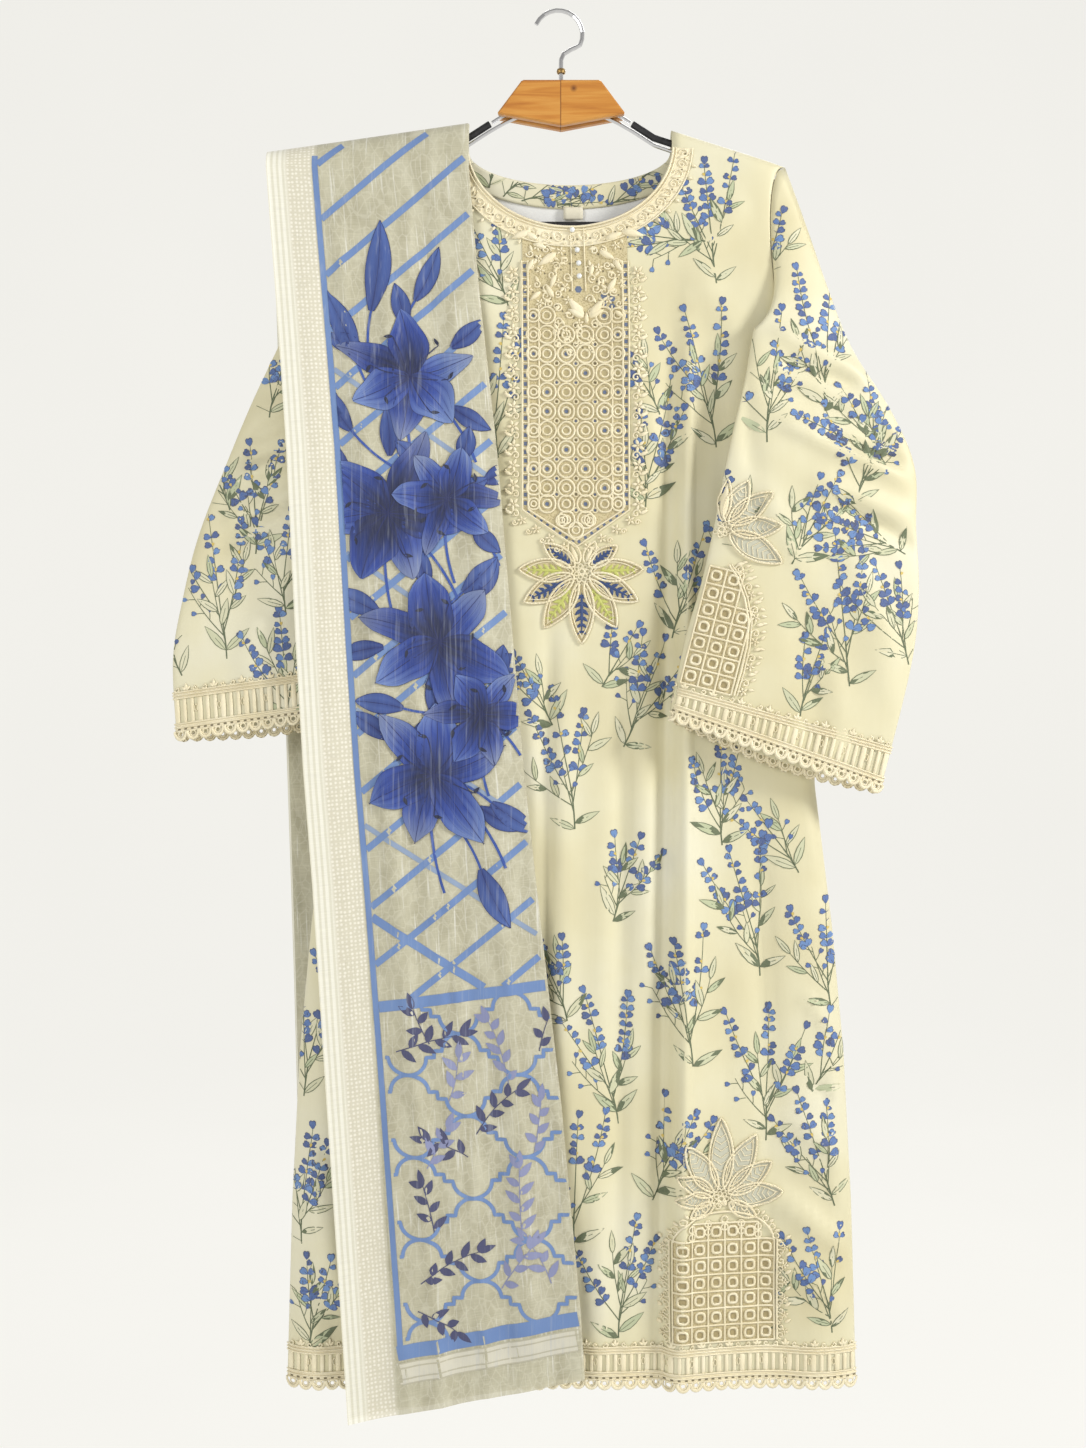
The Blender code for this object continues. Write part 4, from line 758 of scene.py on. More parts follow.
def lace():
    """Cream cotton cord: stitches run across it."""
    m = Shader("lace", Roughness=0.7)
    fibre = m.noise(700, 2.0)
    tone = m.ramp(m.noise(40), (0.3, rgb(233, 222, 188)), (0.7, rgb(243, 235, 207)))
    return m.done({
        "Base Color": m.tint(tone, fibre, 0.24, rgb(206, 188, 144)), "Specular IOR Level": 0.3,
        "Sheen Weight": 0.2, "Normal": m.bump(fibre, 0.5, 0.0004),
    })


def satin_thread(name, colour, shade):
    """Satin stitching in one colour of thread."""
    m = Shader(name, Roughness=0.45)
    threads = m.noise(1400, 1.0)
    return m.done({
        "Base Color": m.blend(threads, colour, shade), "Specular IOR Level": 0.45,
        "Normal": m.bump(threads, 0.5, 0.0003),
    })


def net_ground():
    """The fine net behind the cords: its own beige, made darker as painted shade in the gaps between the
    cords.
    """
    m = Shader("net", Roughness=0.75)
    dots = m.dots(620)
    # The beige is darkened as painted shade between the cords.
    tone = m.ramp(dots, (0.20, rgb(172, 157, 116)), (0.50, rgb(203, 190, 150)))
    return m.done({"Base Color": tone, "Normal": m.bump(dots, 0.3, 0.0003)})


def plain_cloth(name, colour, rough, grain):
    m = Shader(name, Roughness=rough)
    weave = m.noise(grain, 2.0)
    tone = m.tint(colour, weave, 0.22, rgb(176, 170, 150))
    return m.done({"Base Color": tone, "Specular IOR Level": 0.25, "Normal": m.bump(weave, 0.3, 0.0003)})


def metal(name, smear_scale, dark, bright, rough=None):
    """Metal with smears, which also make it rougher where rough isn't given."""
    m = Shader(name, Metallic=1.0)
    smears = m.noise(smear_scale)
    return m.done({
        "Base Color": m.ramp(smears, (0.0, dark), (1.0, bright)),
        "Roughness": rough or m.math("MULTIPLY_ADD", smears, 0.12, 0.10),
    })


def rubber():
    m = Shader("grip", Roughness=0.55)
    dust = m.noise(140, 5.0)
    tone = m.ramp(dust, (0.4, rgb(20, 20, 22)), (0.8, rgb(46, 46, 50)))
    return m.done({"Base Color": tone, "Normal": m.bump(dust, 0.3, 0.0004)})


def oak():
    """Golden oak in two boards, joined end to end below the hook, with a small knot."""
    m = Shader("wood", Roughness=0.42)
    place = m.place(1)
    x, z = (m.node("SeparateXYZ", {"Vector": place}, axis) for axis in "XZ")
    right = m.math("GREATER_THAN", x, JOINT_X)
    # The right board is cut from another place of the same grain.
    shifted = m.node("CombineXYZ", {
        "X": m.math("ADD", x, m.math("MULTIPLY", right, 0.31)),
        "Y": m.node("SeparateXYZ", {"Vector": place}, "Y"),
        "Z": m.math("ADD", z, m.math("MULTIPLY", right, 0.17)),
    })
    fine = m.noise((60, 400, 1400), 2.0, shifted)
    tone = m.ramp(
        m.noise((9, 60, 150), 6.0, shifted, 0.9), (0.28, rgb(176, 108, 36)), (0.46, rgb(200, 134, 52)),
        (0.60, rgb(212, 152, 70)), (0.78, rgb(190, 122, 44)),
    )
    tone = m.tint(tone, fine, 0.28, rgb(158, 96, 36))
    joint = m.math("LESS_THAN", m.math("ABSOLUTE", m.math("SUBTRACT", x, JOINT_X)), 0.0005)
    tone = m.tint(tone, joint, 0.75, rgb(110, 62, 22))
    squares = (
        m.math("POWER", m.math("SUBTRACT", axis, middle), 2.0) for axis, middle in ((x, KNOT_X), (z, KNOT_Z))
    )
    knot = m.ramp(m.math("SQRT", m.math("ADD", *squares)), (0.0016, WHITE), (0.0030, BLACK))
    return m.done({
        "Coat Weight": 0.35, "Coat Roughness": 0.25, "Specular IOR Level": 0.45,
        "Base Color": m.blend(knot, tone, rgb(96, 50, 20)), "Normal": m.bump(fine, 0.15, 0.0003),
    })


def sheer():
    """The dupatta's printed net: open yarns with slubs, and two pale bands down its border."""
    m = Shader("sheer", Roughness=0.6)
    uv = m.node("TexCoord", {}, "UV")
    across = m.node("SeparateXYZ", {"Vector": uv}, "X")

    def stretched(u, v, detail=2.0):
        return m.noise((u, v, 1), detail, uv)

    down, over = stretched(1500, 60), stretched(60, 1200)
    slubs = m.ramp(stretched(420, 16), (0.60, BLACK), (0.72, WHITE))
    net = m.ramp(m.dots((150, 84, 1), uv, feature="DISTANCE_TO_EDGE"), (0.02, WHITE), (0.08, BLACK))
    tone = m.ramp(
        stretched(80, 26, 4.0),
        (0.30, rgb(172, 166, 138)), (0.50, rgb(193, 188, 160)), (0.70, rgb(212, 208, 182)),
    )
    tone = m.tint(tone, net, 0.36, rgb(228, 225, 204))
    tone = m.tint(tone, down, 0.40, rgb(158, 156, 138))
    tone = m.tint(tone, over, 0.30, rgb(224, 220, 200))
    tone = m.tint(tone, slubs, 0.7, rgb(232, 231, 220))
    bands = m.node("TexWave", {"Vector": uv, "Scale": 62.0, "Distortion": 0.2, "Detail": 1.0}, "Fac",
                   bands_direction="X")
    banded = m.ramp(bands, (0.2, rgb(228, 225, 206)), (0.6, rgb(246, 244, 230)))
    dotted = m.ramp(m.dots((260, 260, 1), uv, 0.75), (0.18, rgb(246, 242, 228)), (0.42, rgb(222, 217, 196)))
    inner = m.ramp(across, (BORDER_MID - 0.0003, BLACK), (BORDER_MID + 0.0003, WHITE))
    border = m.ramp(across, (BORDER_IN - 0.0005, WHITE), (BORDER_IN + 0.0005, BLACK))
    return m.done({
        "Base Color": m.blend(border, tone, m.blend(inner, banded, dotted)),
        "Alpha": m.math("MULTIPLY_ADD", over, 0.20, 0.78, clamp=True),
        "Specular IOR Level": 0.3, "Sheen Weight": 0.2,
        "Normal": m.bump(m.math("ADD", down, m.math("MULTIPLY", slubs, 0.6)), 0.35, 0.0005),
    })


def floor_finish():
    m = Shader("studio", Roughness=0.9)
    return m.done({
        "Base Color": m.ramp(m.noise(1.5), (0.3, rgb(122, 121, 118)), (0.7, rgb(126, 125, 122))),
        "Specular IOR Level": 0.1, "Emission Color": rgb(250, 249, 244), "Emission Strength": 0.76,
    })


# Stage --------------------------------------------------------------------------------------------------

FLOOR_Z, FLOOR_END, STAGE_BEND, STAGE_HALF_WIDTH = -1.62, 2.6, 1.2, 7.0


def make_stage(finish):
    """A pale floor that curves up into a wall far behind."""
    profile = [(-6.0, FLOOR_Z), (FLOOR_END, FLOOR_Z)]
    for i in range(1, 13):
        a = pi / 2 * i / 12
        profile.append((FLOOR_END + STAGE_BEND * sin(a), FLOOR_Z + STAGE_BEND * (1 - cos(a))))
    profile.append((FLOOR_END + STAGE_BEND, 4.0))
    points = [(x, y, z) for y, z in profile for x in (-STAGE_HALF_WIDTH, STAGE_HALF_WIDTH)]
    show("stage", smooth_mesh("stage", points, cells(len(profile), 2), finish))


def add_light(name, where, size, power, colour=(1, 1, 1)):
    lamp = bpy.data.lights.new(name, "AREA")
    lamp.shape, lamp.size, lamp.energy, lamp.color = "DISK", size, power, colour
    made = show(name, lamp)
    made.location = where
    made.rotation_euler = (Vector((0, 0, -0.62)) - Vector(where)).to_track_quat("-Z", "Y").to_euler()


def light_and_frame():
    scene = bpy.context.scene
    scene.view_settings.view_transform = "Standard"
    world = scene.world = bpy.data.worlds.new("studio")
    world.use_nodes = True
    background = world.node_tree.nodes["Background"]
    background.inputs["Color"].default_value = (1.0, 0.985, 0.955, 1)
    background.inputs["Strength"].default_value = 0.42
    add_light("key", (2.5, -1.2, 0.6), 0.7, 68, (1.0, 0.99, 0.97))
    add_light("fill", (-1.7, -2.7, 0.1), 1.6, 36)
    add_light("rim", (0.6, 2.2, 1.2), 1.6, 22)
    lens = bpy.data.cameras.new("camera")
    lens.lens, lens.sensor_width, lens.sensor_fit = 43.2, 36.0, "AUTO"
    camera = scene.camera = show("camera", lens)
    camera.location, camera.rotation_euler = (-0.014, -1.61, -0.659), (pi / 2, 0, 0)


# Print --------------------------------------------------------------------------------------------------

PETAL_BLUES = (rgb(56, 98, 168), rgb(68, 112, 180), rgb(90, 134, 196), rgb(46, 82, 148))
PETAL_EDGE, STEM_GREEN, LEAF_EDGE = rgb(34, 58, 112), rgb(74, 92, 66), rgb(84, 100, 74)
LEAF_FILLS = (rgb(214, 212, 180), rgb(188, 196, 160), rgb(224, 220, 190), rgb(206, 208, 174))
POLLEN = rgb(214, 186, 92)
# How far printed shapes lie over the cloth. Shapes that overlap lie in turn over one another.
UNDER, OVER, LILY_RISE = 0.00019, 0.00038, 0.00080
TURN_RISE, TURNS, STEP = 0.000006, 40, 0.00003
VEIN, LEAF_OVER = 1.4 * STEP, OVER + 0.00006
# A shape or a line's step that reaches farther than this crosses a gap in the cloth, and is left out.
SHAPE_REACH, STEP_REACH = 0.022, 0.02
PETAL = (
    (0, 0), (0.16, 0.20), (0.46, 0.44), (0.80, 0.46), (0.98, 0.24), (0.90, 0.02), (1.0, -0.20), (0.82, -0.42),
    (0.48, -0.42), (0.16, -0.20),
)
LEAF_SIDE = ((0.14, 0.30), (0.34, 0.46), (0.58, 0.42), (0.80, 0.24))
LEAF = ((0, 0), *LEAF_SIDE, (1, 0), *((u, -v) for u, v in LEAF_SIDE[::-1]))


class Ink:
    """Printed flat shapes over one face of a cloth, gathered into one mesh."""

    def __init__(self, face, relative=True):
        self.face, self.relative = face, relative
        self.points, self.faces, self.colours = [], [], []
        self.turn, self.edge = 0, None

    def next_rise(self):
        """The height of the next shape, over those just before it."""
        self.turn = (self.turn + 1) % TURNS
        return UNDER + TURN_RISE * self.turn

    def spot(self, x, z, rise):
        """The place of a point on the cloth. What would pass the printed edge stops there."""
        if self.edge:
            x = max(x, self.edge(z))
        found = self.face.at(x + suit_x(z) if self.relative else x, z, rise)
        return None if found is None else found[0]

    def add(self, spots, colour):
        self.points += spots
        self.colours += [colour] * len(spots)
        return len(self.points) - len(spots)

    def fan(self, outline, colour, rise):
        """A filled shape, as a fan round its middle. It's left out where part of it misses the cloth."""
        count = len(outline)
        middle = sum(p[0] for p in outline) / count, sum(p[1] for p in outline) / count
        spots = [self.spot(x, z, rise) for x, z in (*outline, middle)]
        if None in spots or max((p - spots[-1]).length for p in spots) > SHAPE_REACH:
            return
        start = self.add(spots, colour)
        self.faces += [(start + i, start + (i + 1) % count, start + count) for i in range(count)]

    def line(self, route, width, colour, rise, taper=0.0):
        """A line along a route of (x, z), left out where it misses the cloth."""
        last = None
        for i, (x, z) in enumerate(route):
            (bx, bz), (ax, az) = route[max(i - 1, 0)], route[min(i + 1, len(route) - 1)]
            reach = hypot(ax - bx, az - bz) or 1
            half = width / 2 * (1 - taper * i / (len(route) - 1))
            ox, oz = (bz - az) / reach * half, (ax - bx) / reach * half
            pair = [self.spot(x + ox, z + oz, rise), self.spot(x - ox, z - oz, rise)]
            if None in pair:
                last = None
                continue
            here = self.add(pair, colour)
            if last is not None and (self.points[last] - pair[0]).length < STEP_REACH:
                self.faces.append((last, here, here + 1, last + 1))
            last = here

    def patch(self, grid, shades, rise):
        """A filled grid of (x, z) points with a colour each."""
        place = {}
        for i, (x, z) in enumerate(sum(grid, [])):
            spot = self.spot(x, z, rise)
            if spot is not None:
                place[i] = self.add([spot], shades[i])
        self.faces += [
            tuple(place[i] for i in face) for face in cells(len(grid), len(grid[0]))
            if all(i in place for i in face)
        ]

    def make(self, name, finish, slot):
        add_mesh(name, self.points, self.faces, finish, self.colours)


def turned(outline, x, z, angle, length, width):
    """A unit outline placed at (x, z), pointing at angle."""
    c, s = cos(angle), sin(angle)
    return [(x + u * length * c - v * width * s, z + u * length * s + v * width * c) for u, v in outline]


def bent_route(x, z, angle, length, bend, step=0.0026):
    """A route that leaves (x, z) at angle and turns by bend on its way."""
    count = max(3, round(length / step))
    route = [(x, z)]
    for i in range(count):
        route.append(polar(*route[-1], length / count, angle + bend * i / count))
    return route


def heading_at(route, i):
    (bx, bz), (ax, az) = route[max(i - 1, 0)], route[min(i + 1, len(route) - 1)]
    return atan2(az - bz, ax - bx)


def off_stem(route, i, k, least, most):
    """A direction away from a stem at its place i, to the left and right in turn."""
    return heading_at(route, i) + (1 if k % 2 else -1) * radians(rng.uniform(least, most))


def petal(ink, x, z, angle, length):
    blue, rise = rng.choice(PETAL_BLUES), ink.next_rise()
    ink.fan(turned(PETAL, x, z, angle, length * 1.08, length * 0.96), PETAL_EDGE, rise)
    ink.fan(turned(PETAL, x, z, angle, length * 0.99, length * 0.82), blue, rise + STEP)
    fold = bent_route(x, z, angle, length * 0.5, rng.uniform(-0.5, 0.5), length * 0.17)
    ink.line(fold, 0.0006, PETAL_EDGE, rise + VEIN, 0.6)


def leaf(ink, x, z, angle, length, wide=0.30):
    fill, rise = rng.choice(LEAF_FILLS), ink.next_rise()
    ink.fan(turned(LEAF, x, z, angle, length, length * wide), LEAF_EDGE, rise)
    inner = turned(LEAF, *polar(x, z, 0.0008, angle), angle, length - 0.0016, length * wide - 0.0017)
    ink.fan(inner, fill, rise + STEP)
    ink.line(bent_route(x, z, angle, length * 0.62, 0.0), 0.0005, LEAF_EDGE, rise + VEIN)


def spike(ink, route, first):
    """Petals up both sides of a stem, from the place first to its tip."""
    start = round(first * (len(route) - 1))
    for k, i in enumerate(range(start, len(route) - 1, 3)):
        size = 0.0088 * (1 - 0.34 * (i - start) / max(1, len(route) - start)) * rng.uniform(0.86, 1.10)
        heading = heading_at(route, i)
        for side in (-1, 1):
            if rng.random() < 0.70:
                angle = heading + side * radians(rng.uniform(38, 74))
                petal(ink, *route[i], angle, size * rng.uniform(0.85, 1.08))
        if k % 3 == 2:
            pollen = turned(PETAL, *route[i], heading + rng.uniform(-1, 1), 0.0034, 0.0026)
            ink.fan(pollen, POLLEN, UNDER + TURN_RISE * TURNS)
    petal(ink, *route[-1], heading_at(route, len(route) - 1) + rng.uniform(-0.3, 0.3), 0.0078)


def leafy(ink, route, size):
    """Slender outlined leaves up both sides of a stem."""
    for k, i in enumerate(range(round(0.25 * len(route)), len(route) - 1, 5)):
        angle = off_stem(route, i, k, 26, 50)
        leaf(ink, *route[i], angle, size * rng.uniform(0.75, 1.1), rng.uniform(0.26, 0.36))
    leaf(ink, *route[-1], heading_at(route, len(route) - 1), size * 0.9)


def budded(ink, route):
    """Little buds on short side stems."""
    for k, i in enumerate(range(round(0.35 * len(route)), len(route), 3)):
        angle = off_stem(route, i, k, 40, 60)
        stem = bent_route(*route[i], angle, 0.007, 0.3, 0.0022)
        ink.line(stem, 0.0006, STEM_GREEN, UNDER)
        petal(ink, *stem[-1], angle, 0.0052)


# What grows on a spray's stems, and which way each leaves the stalk.
STEMS = (
    (("spike", 0.1), ("leaf", -1.1), ("spike", 1.1), ("spike", -0.7), ("leaf", 1.9), ("bud", 0.6)),
    (("spike", -0.2), ("spike", 0.9), ("leaf", -1.5), ("spike", -1.0), ("bud", 1.6), ("leaf", 0.4)),
    (("spike", 0.0), ("leaf", 0.9), ("spike", -0.9), ("bud", -1.7), ("spike", 1.6), ("leaf", -0.4)),
)
SMALL_STEMS = (("spike", 0.0), ("leaf", -1.2), ("spike", 1.0), ("bud", -0.5))
STEM_SHARES = {"spike": 0.72, "leaf": 0.42, "bud": 0.40}


def spray(ink, x, z, heading, height, leaves=1.0):
    """A loose spray: blue spikes between leafy and budded stems that leave a common stalk in turn."""
    size = 0.0285 * leaves
    stalk = bent_route(x, z, radians(heading), height * 0.34, rng.uniform(-0.25, 0.25))
    ink.line(stalk, 0.0013, STEM_GREEN, UNDER - 0.00004)
    for side in (-1, 1):
        foot = stalk[round(len(stalk) * rng.uniform(0.0, 0.3))]
        angle = radians(heading + side * rng.uniform(38, 75))
        leaf(ink, *foot, angle, size * rng.uniform(0.8, 1.15))
    stems = rng.choice(STEMS) if height > 0.075 else SMALL_STEMS
    for k, (kind, offset) in enumerate(stems):
        place = round((len(stalk) - 1) * (1 - 0.75 * k / len(stems)))
        angle = heading_at(stalk, place) + radians(offset * rng.uniform(20, 30))
        length = height * STEM_SHARES[kind] * rng.uniform(0.85, 1.12) * (1 + 0.25 * k / len(stems))
        route = bent_route(*stalk[place], angle, length, -radians(offset * rng.uniform(4, 16)))
        ink.line(route, 0.0010, STEM_GREEN, UNDER - 0.00003, 0.5)
        if kind == "spike":
            spike(ink, route, rng.uniform(0.25, 0.42))
        elif kind == "leaf":
            leafy(ink, route, size * 0.85)
        else:
            budded(ink, route)


# Where the sprays stand, in centimetres from the hanger and the kameez's middle, the way they point in
# degrees, and how tall they are in centimetres.
SPRAY = "x z heading height"
FRONT_SPRAYS = table(SPRAY, """
    14.5 -25.5 98 11.5, 14.5 -40.5 95 12.5, 9.3 -37.5 112 7.5, 1.5 -75.5 92 11.5, 6 -68 62 10.5,
    15 -77 97 9, 18.5 -89 92 11, 5 -84 72 8, 0.8 -93 100 8, 5.5 -102.5 98 11, 12.2 -97 95 11.5,
    19 -104 88 11.5, 25 -92 102 10, 8.6 -109.5 62 9, 1.5 -114 95 11.5, 5.5 -122 90 10, 25.3 -110 108 9.5,
    25 -121.5 95 9, 10.5 -58 78 9, 4 -62.5 60 6, 22 -79.5 118 7.5, -5.5 -41.5 98 11.5, -4.6 -27.5 104 8,
    13.5 -21.6 172 8.5, 8 -46 88 9, -23.3 -100 84 10, -23.5 -113.5 92 9.5, -22.8 -123 80 8.5,
    18.8 -56 96 9, 17.5 -68.5 80 9.5, -13 -31 90 11, -11.5 -47 100 11, -18 -60.5 85 10.5,
    -8.5 -61.5 95 10.5, -15.5 -78 92 11, -7 -82 84 10, -17 -96 96 11, -8 -99 88 11, -15 -114 90 10.5,
    -6 -119 100 10.5, -15.5 -19.8 60 6.5, 17.6 -121.8 75 6, -0.5 -66 118 6.5, 23.2 -99.5 60 7""", 1)
RIGHT_SPRAYS = table(SPRAY, """
    18.8 -40.5 92 11, 24.2 -37.5 94 12, 26.8 -46 76 9, 21 -51.5 62 8, 26.3 -62.5 96 12, 18.4 -27.5 93 9,
    31.8 -60.5 104 9, 21.8 -65.2 82 7, 29.6 -42.5 112 8.5, 31.5 -50.5 150 8, 16.8 -50.5 100 7.5""", 1)
LEFT_SPRAYS = table(SPRAY, """
    -30 -60 94 12, -27.4 -50.5 84 9.5, -26.3 -38 84 6.5, -34.2 -61.5 118 7.5, -24.6 -56 98 9,
    -24.5 -65.5 88 8.5, -19.5 -50 96 9, -20.5 -37 92 9, -29.8 -46.5 110 7""", 1)


def print_sprays(name, face, sprays, finish):
    ink = Ink(face, relative=False)
    for x, z, heading, height in sprays:
        spray(ink, x / 100, z / 100, heading, height / 100)
    ink.make(name, finish, "printed_cloth")


# How far apart scattered sprays stand down and across, and how far every other row is shifted.
SPRAYS_DOWN, SPRAYS_ACROSS, SPRAY_SHIFT = 11.0, 10.2, 5.2


def scattered(left, right, top, bottom):
    """Sprays staggered over a face that the photograph doesn't show."""
    rows = []
    for r in range(int((top - bottom) / SPRAYS_DOWN) + 1):
        x = left + (SPRAY_SHIFT if r % 2 else 0.0)
        while x < right:
            rows.append((
                x + rng.uniform(-1.2, 1.2), top - 9 - SPRAYS_DOWN * r + rng.uniform(-1.5, 1.5),
                rng.uniform(72, 112), rng.uniform(8.5, 12.0),
            ))
            x += SPRAYS_ACROSS
    return rows


# Dupatta's print ------------------------------------------------------------------------------------------

LINE_BLUE, FAINT_BLUE = rgb(116, 146, 194), rgb(150, 168, 192)
SLATE, SLATE_PALE = rgb(74, 74, 108), rgb(148, 152, 186)
THREAD = rgb(206, 199, 168)
FALL_WIDTH = 0.190


def fall_x(s, z, rows):
    """The place on a fall that is s in from its left edge."""
    row = row_at(rows, z)
    return row.left_x + (row.right_x - row.left_x) * s / FALL_WIDTH


def blended(a, b, t):
    return tuple(mix(p, q, t) for p, q in zip(a, b))


def lily(ink, x, z, radius, turn, shade, order):
    """A generic open lily: six wavy pointed petals with dark veins and edges, and six stamens."""
    deep, royal, light, grey = rgb(8, 18, 62), rgb(36, 66, 152), rgb(124, 148, 198), rgb(126, 134, 158)
    rise = LILY_RISE + 0.00025 * order
    for level, k in enumerate((0, 2, 4, 1, 3, 5)):
        angle = turn + k * pi / 3 + rng.uniform(-0.16, 0.16)
        length = radius * rng.uniform(0.84, 1.12)
        width = radius * (0.27 if k % 2 else 0.21) * rng.uniform(0.9, 1.1)
        spine = bent_route(x, z, angle, length, rng.uniform(-0.4, 0.4), length / 18)
        grid, shades = [], []
        pale = rng.uniform(-0.16, 0.34)
        for i, point in enumerate(spine):
            t = i / (len(spine) - 1)
            half = width * (sin(pi * min(1, t * 1.01) ** 0.9) ** 0.75 + 0.08 * (1 - t))
            heading = heading_at(spine, i) + pi / 2
            line = []
            for j in range(13):
                v = j / 6 - 1
                wave = 0.07 * width * sin(11 * t + order + 2 * (v > 0)) * abs(v)
                line.append(polar(*point, half * v + wave, heading))
                tone = mix(-0.05, 0.92, t ** 0.8) + shade + pale - 0.20 * (1 - abs(v))
                tone = 2 * min(1.0, max(0.0, tone + 0.08 * sin(23 * v + 5 * t)))
                base = blended(blended(deep, royal, min(1, tone)), light, max(0, tone - 1))
                worn = max(0.0, t - 0.55) * 1.7 * (k % 2 == 0)
                shades.append(blended(base, grey, worn))
            grid.append(line)
        petal_rise = rise + 0.00004 * level
        ink.patch(grid, shades, petal_rise)
        for j, thick in enumerate((5, 3, 4, 11, 4, 3, 5)):
            last = len(grid) if j in (0, 3, 6) else round(len(grid) * 0.82)
            vein = [line[2 * j] for line in grid[:last]]
            ink.line(vein, thick / 10000, rgb(14, 26, 88), petal_rise + 0.00002, 0.6)
    for k in range(6):
        angle = turn + 0.5 + k * 1.05 + rng.uniform(-0.2, 0.2)
        route = bent_route(x, z, angle, radius * rng.uniform(0.40, 0.62), rng.uniform(-0.5, 0.5))
        ink.line(route, 0.0010, rgb(14, 24, 80), rise + 0.00026)
        ink.fan(turned(LEAF, *route[-1], angle + 1.2, 0.0080, 0.0036), rgb(12, 18, 52), rise + 0.00028)


def lily_bud(ink, x, z, angle, length, width, shade):
    spine = bent_route(x, z, angle, length, 0.25, length / 12)
    across = (-1, -0.5, 0, 0.5, 1)
    grid, shades = [], []
    for i, point in enumerate(spine):
        t = i / (len(spine) - 1)
        half = width * sin(pi * (0.06 + 0.94 * t)) ** 0.9
        grid.append([polar(*point, half * v, heading_at(spine, i) + pi / 2) for v in across])
        for v in across:
            tone = min(1.0, shade + 0.5 * t - 0.3 * (v == 0) - 0.2 * (abs(v) == 1))
            shades.append(blended(rgb(22, 42, 112), rgb(86, 116, 184), max(0.0, tone)))
    rise = LILY_RISE - 0.00016 + ink.next_rise() / 4
    ink.patch(grid, shades, rise)
    for j in (0, 2, 4):
        ink.line([line[j] for line in grid], 0.0005, rgb(16, 28, 92), rise + 0.000004)


def twig(ink, x, z, heading, length, colour):
    """A spray of plain leaves in one tone."""
    size = 0.0165
    route = bent_route(x, z, radians(heading), length, rng.uniform(-0.5, 0.5))
    ink.line(route, 0.0010, colour, OVER, 0.4)
    for k, i in enumerate(range(2, len(route), 3)):
        angle = off_stem(route, i, k, 35, 65)
        ink.fan(turned(LEAF, *route[i], angle, size * rng.uniform(0.7, 1.15), size * 0.46), colour, LEAF_OVER)
    ink.fan(turned(LEAF, *route[-1], heading_at(route, len(route) - 1), size, size * 0.42), colour, LEAF_OVER)


# Leaf sprays on a fall: the place in from its left edge, the height, the direction and length, and 1 if pale.
TWIGS = table("s z heading length pale", """
    .060 -.955 20 .060 0, .088 -.948 120 .035 0, .120 -1.030 60 .055 0, .112 -1.050 150 .040 0,
    .066 -1.165 40 .060 0, .080 -1.120 100 .045 0, .062 -1.190 -20 .040 0, .150 -.985 100 .060 1,
    .165 -1.050 80 .050 1, .150 -1.120 95 .060 1, .130 -1.170 60 .050 1, .170 -1.165 110 .045 1,
    .100 -1.000 70 .040 1, .078 -1.060 60 .040 1, .178 -.955 80 .030 0, .110 -1.200 20 .040 0""", 1)
LILY = "s z radius turn shade"
FRONT_LILIES = table(LILY, """
    .118 -.345 .066 .35 .02, .088 -.470 .074 1.15 -.08, .142 -.455 .052 .05 -.05,
    .125 -.585 .070 .70 -.04, .112 -.705 .072 .20 .03, .158 -.650 .050 1 -.1""", 1)
BACK_LILIES = table(LILY, ".110 -.430 .068 .5 0, .125 -.600 .066 1 0", 1)
LILY_BUDS = table("s z heading length width", """
    .088 -.285 78 .085 .0115, .070 -.330 108 .070 .0100, .060 -.395 128 .062 .0110, .130 -.275 60 .055 .0085,
    .145 -.790 -70 .060 .0110, .075 -.560 150 .050 .0100, .150 -.540 40 .045 .0090, .090 -.645 165 .045 .0090,
    .160 -.730 -40 .050 .0090""", 1)
LILY_STEM = rgb(50, 84, 164)
FALL_STEPS = 60
# One lobe of the ogee lattice, and how far apart the lobes lie.
LOBE, HALF_PITCH, COLUMN_PITCH = 0.0156, 0.03725, 0.0450


def lattice_side():
    """One side of a cell of the lattice, from its point to its flank: a lobe, a step and a lobe."""
    lobe = [(LOBE * sin(0.17 * k), HALF_PITCH - LOBE * (1 - cos(0.17 * k))) for k in range(9)]
    shoulder = HALF_PITCH - LOBE
    lobe.append((LOBE, shoulder))
    corners = [*lobe, (COLUMN_PITCH / 2, shoulder), (COLUMN_PITCH / 2, HALF_PITCH - shoulder)]
    corners += [(COLUMN_PITCH - u, HALF_PITCH - v) for u, v in lobe[::-1]]
    return [p for a, b in zip(corners, corners[1:]) for p in straight(*a, *b, 0.003)[:-1]] + [corners[-1]]


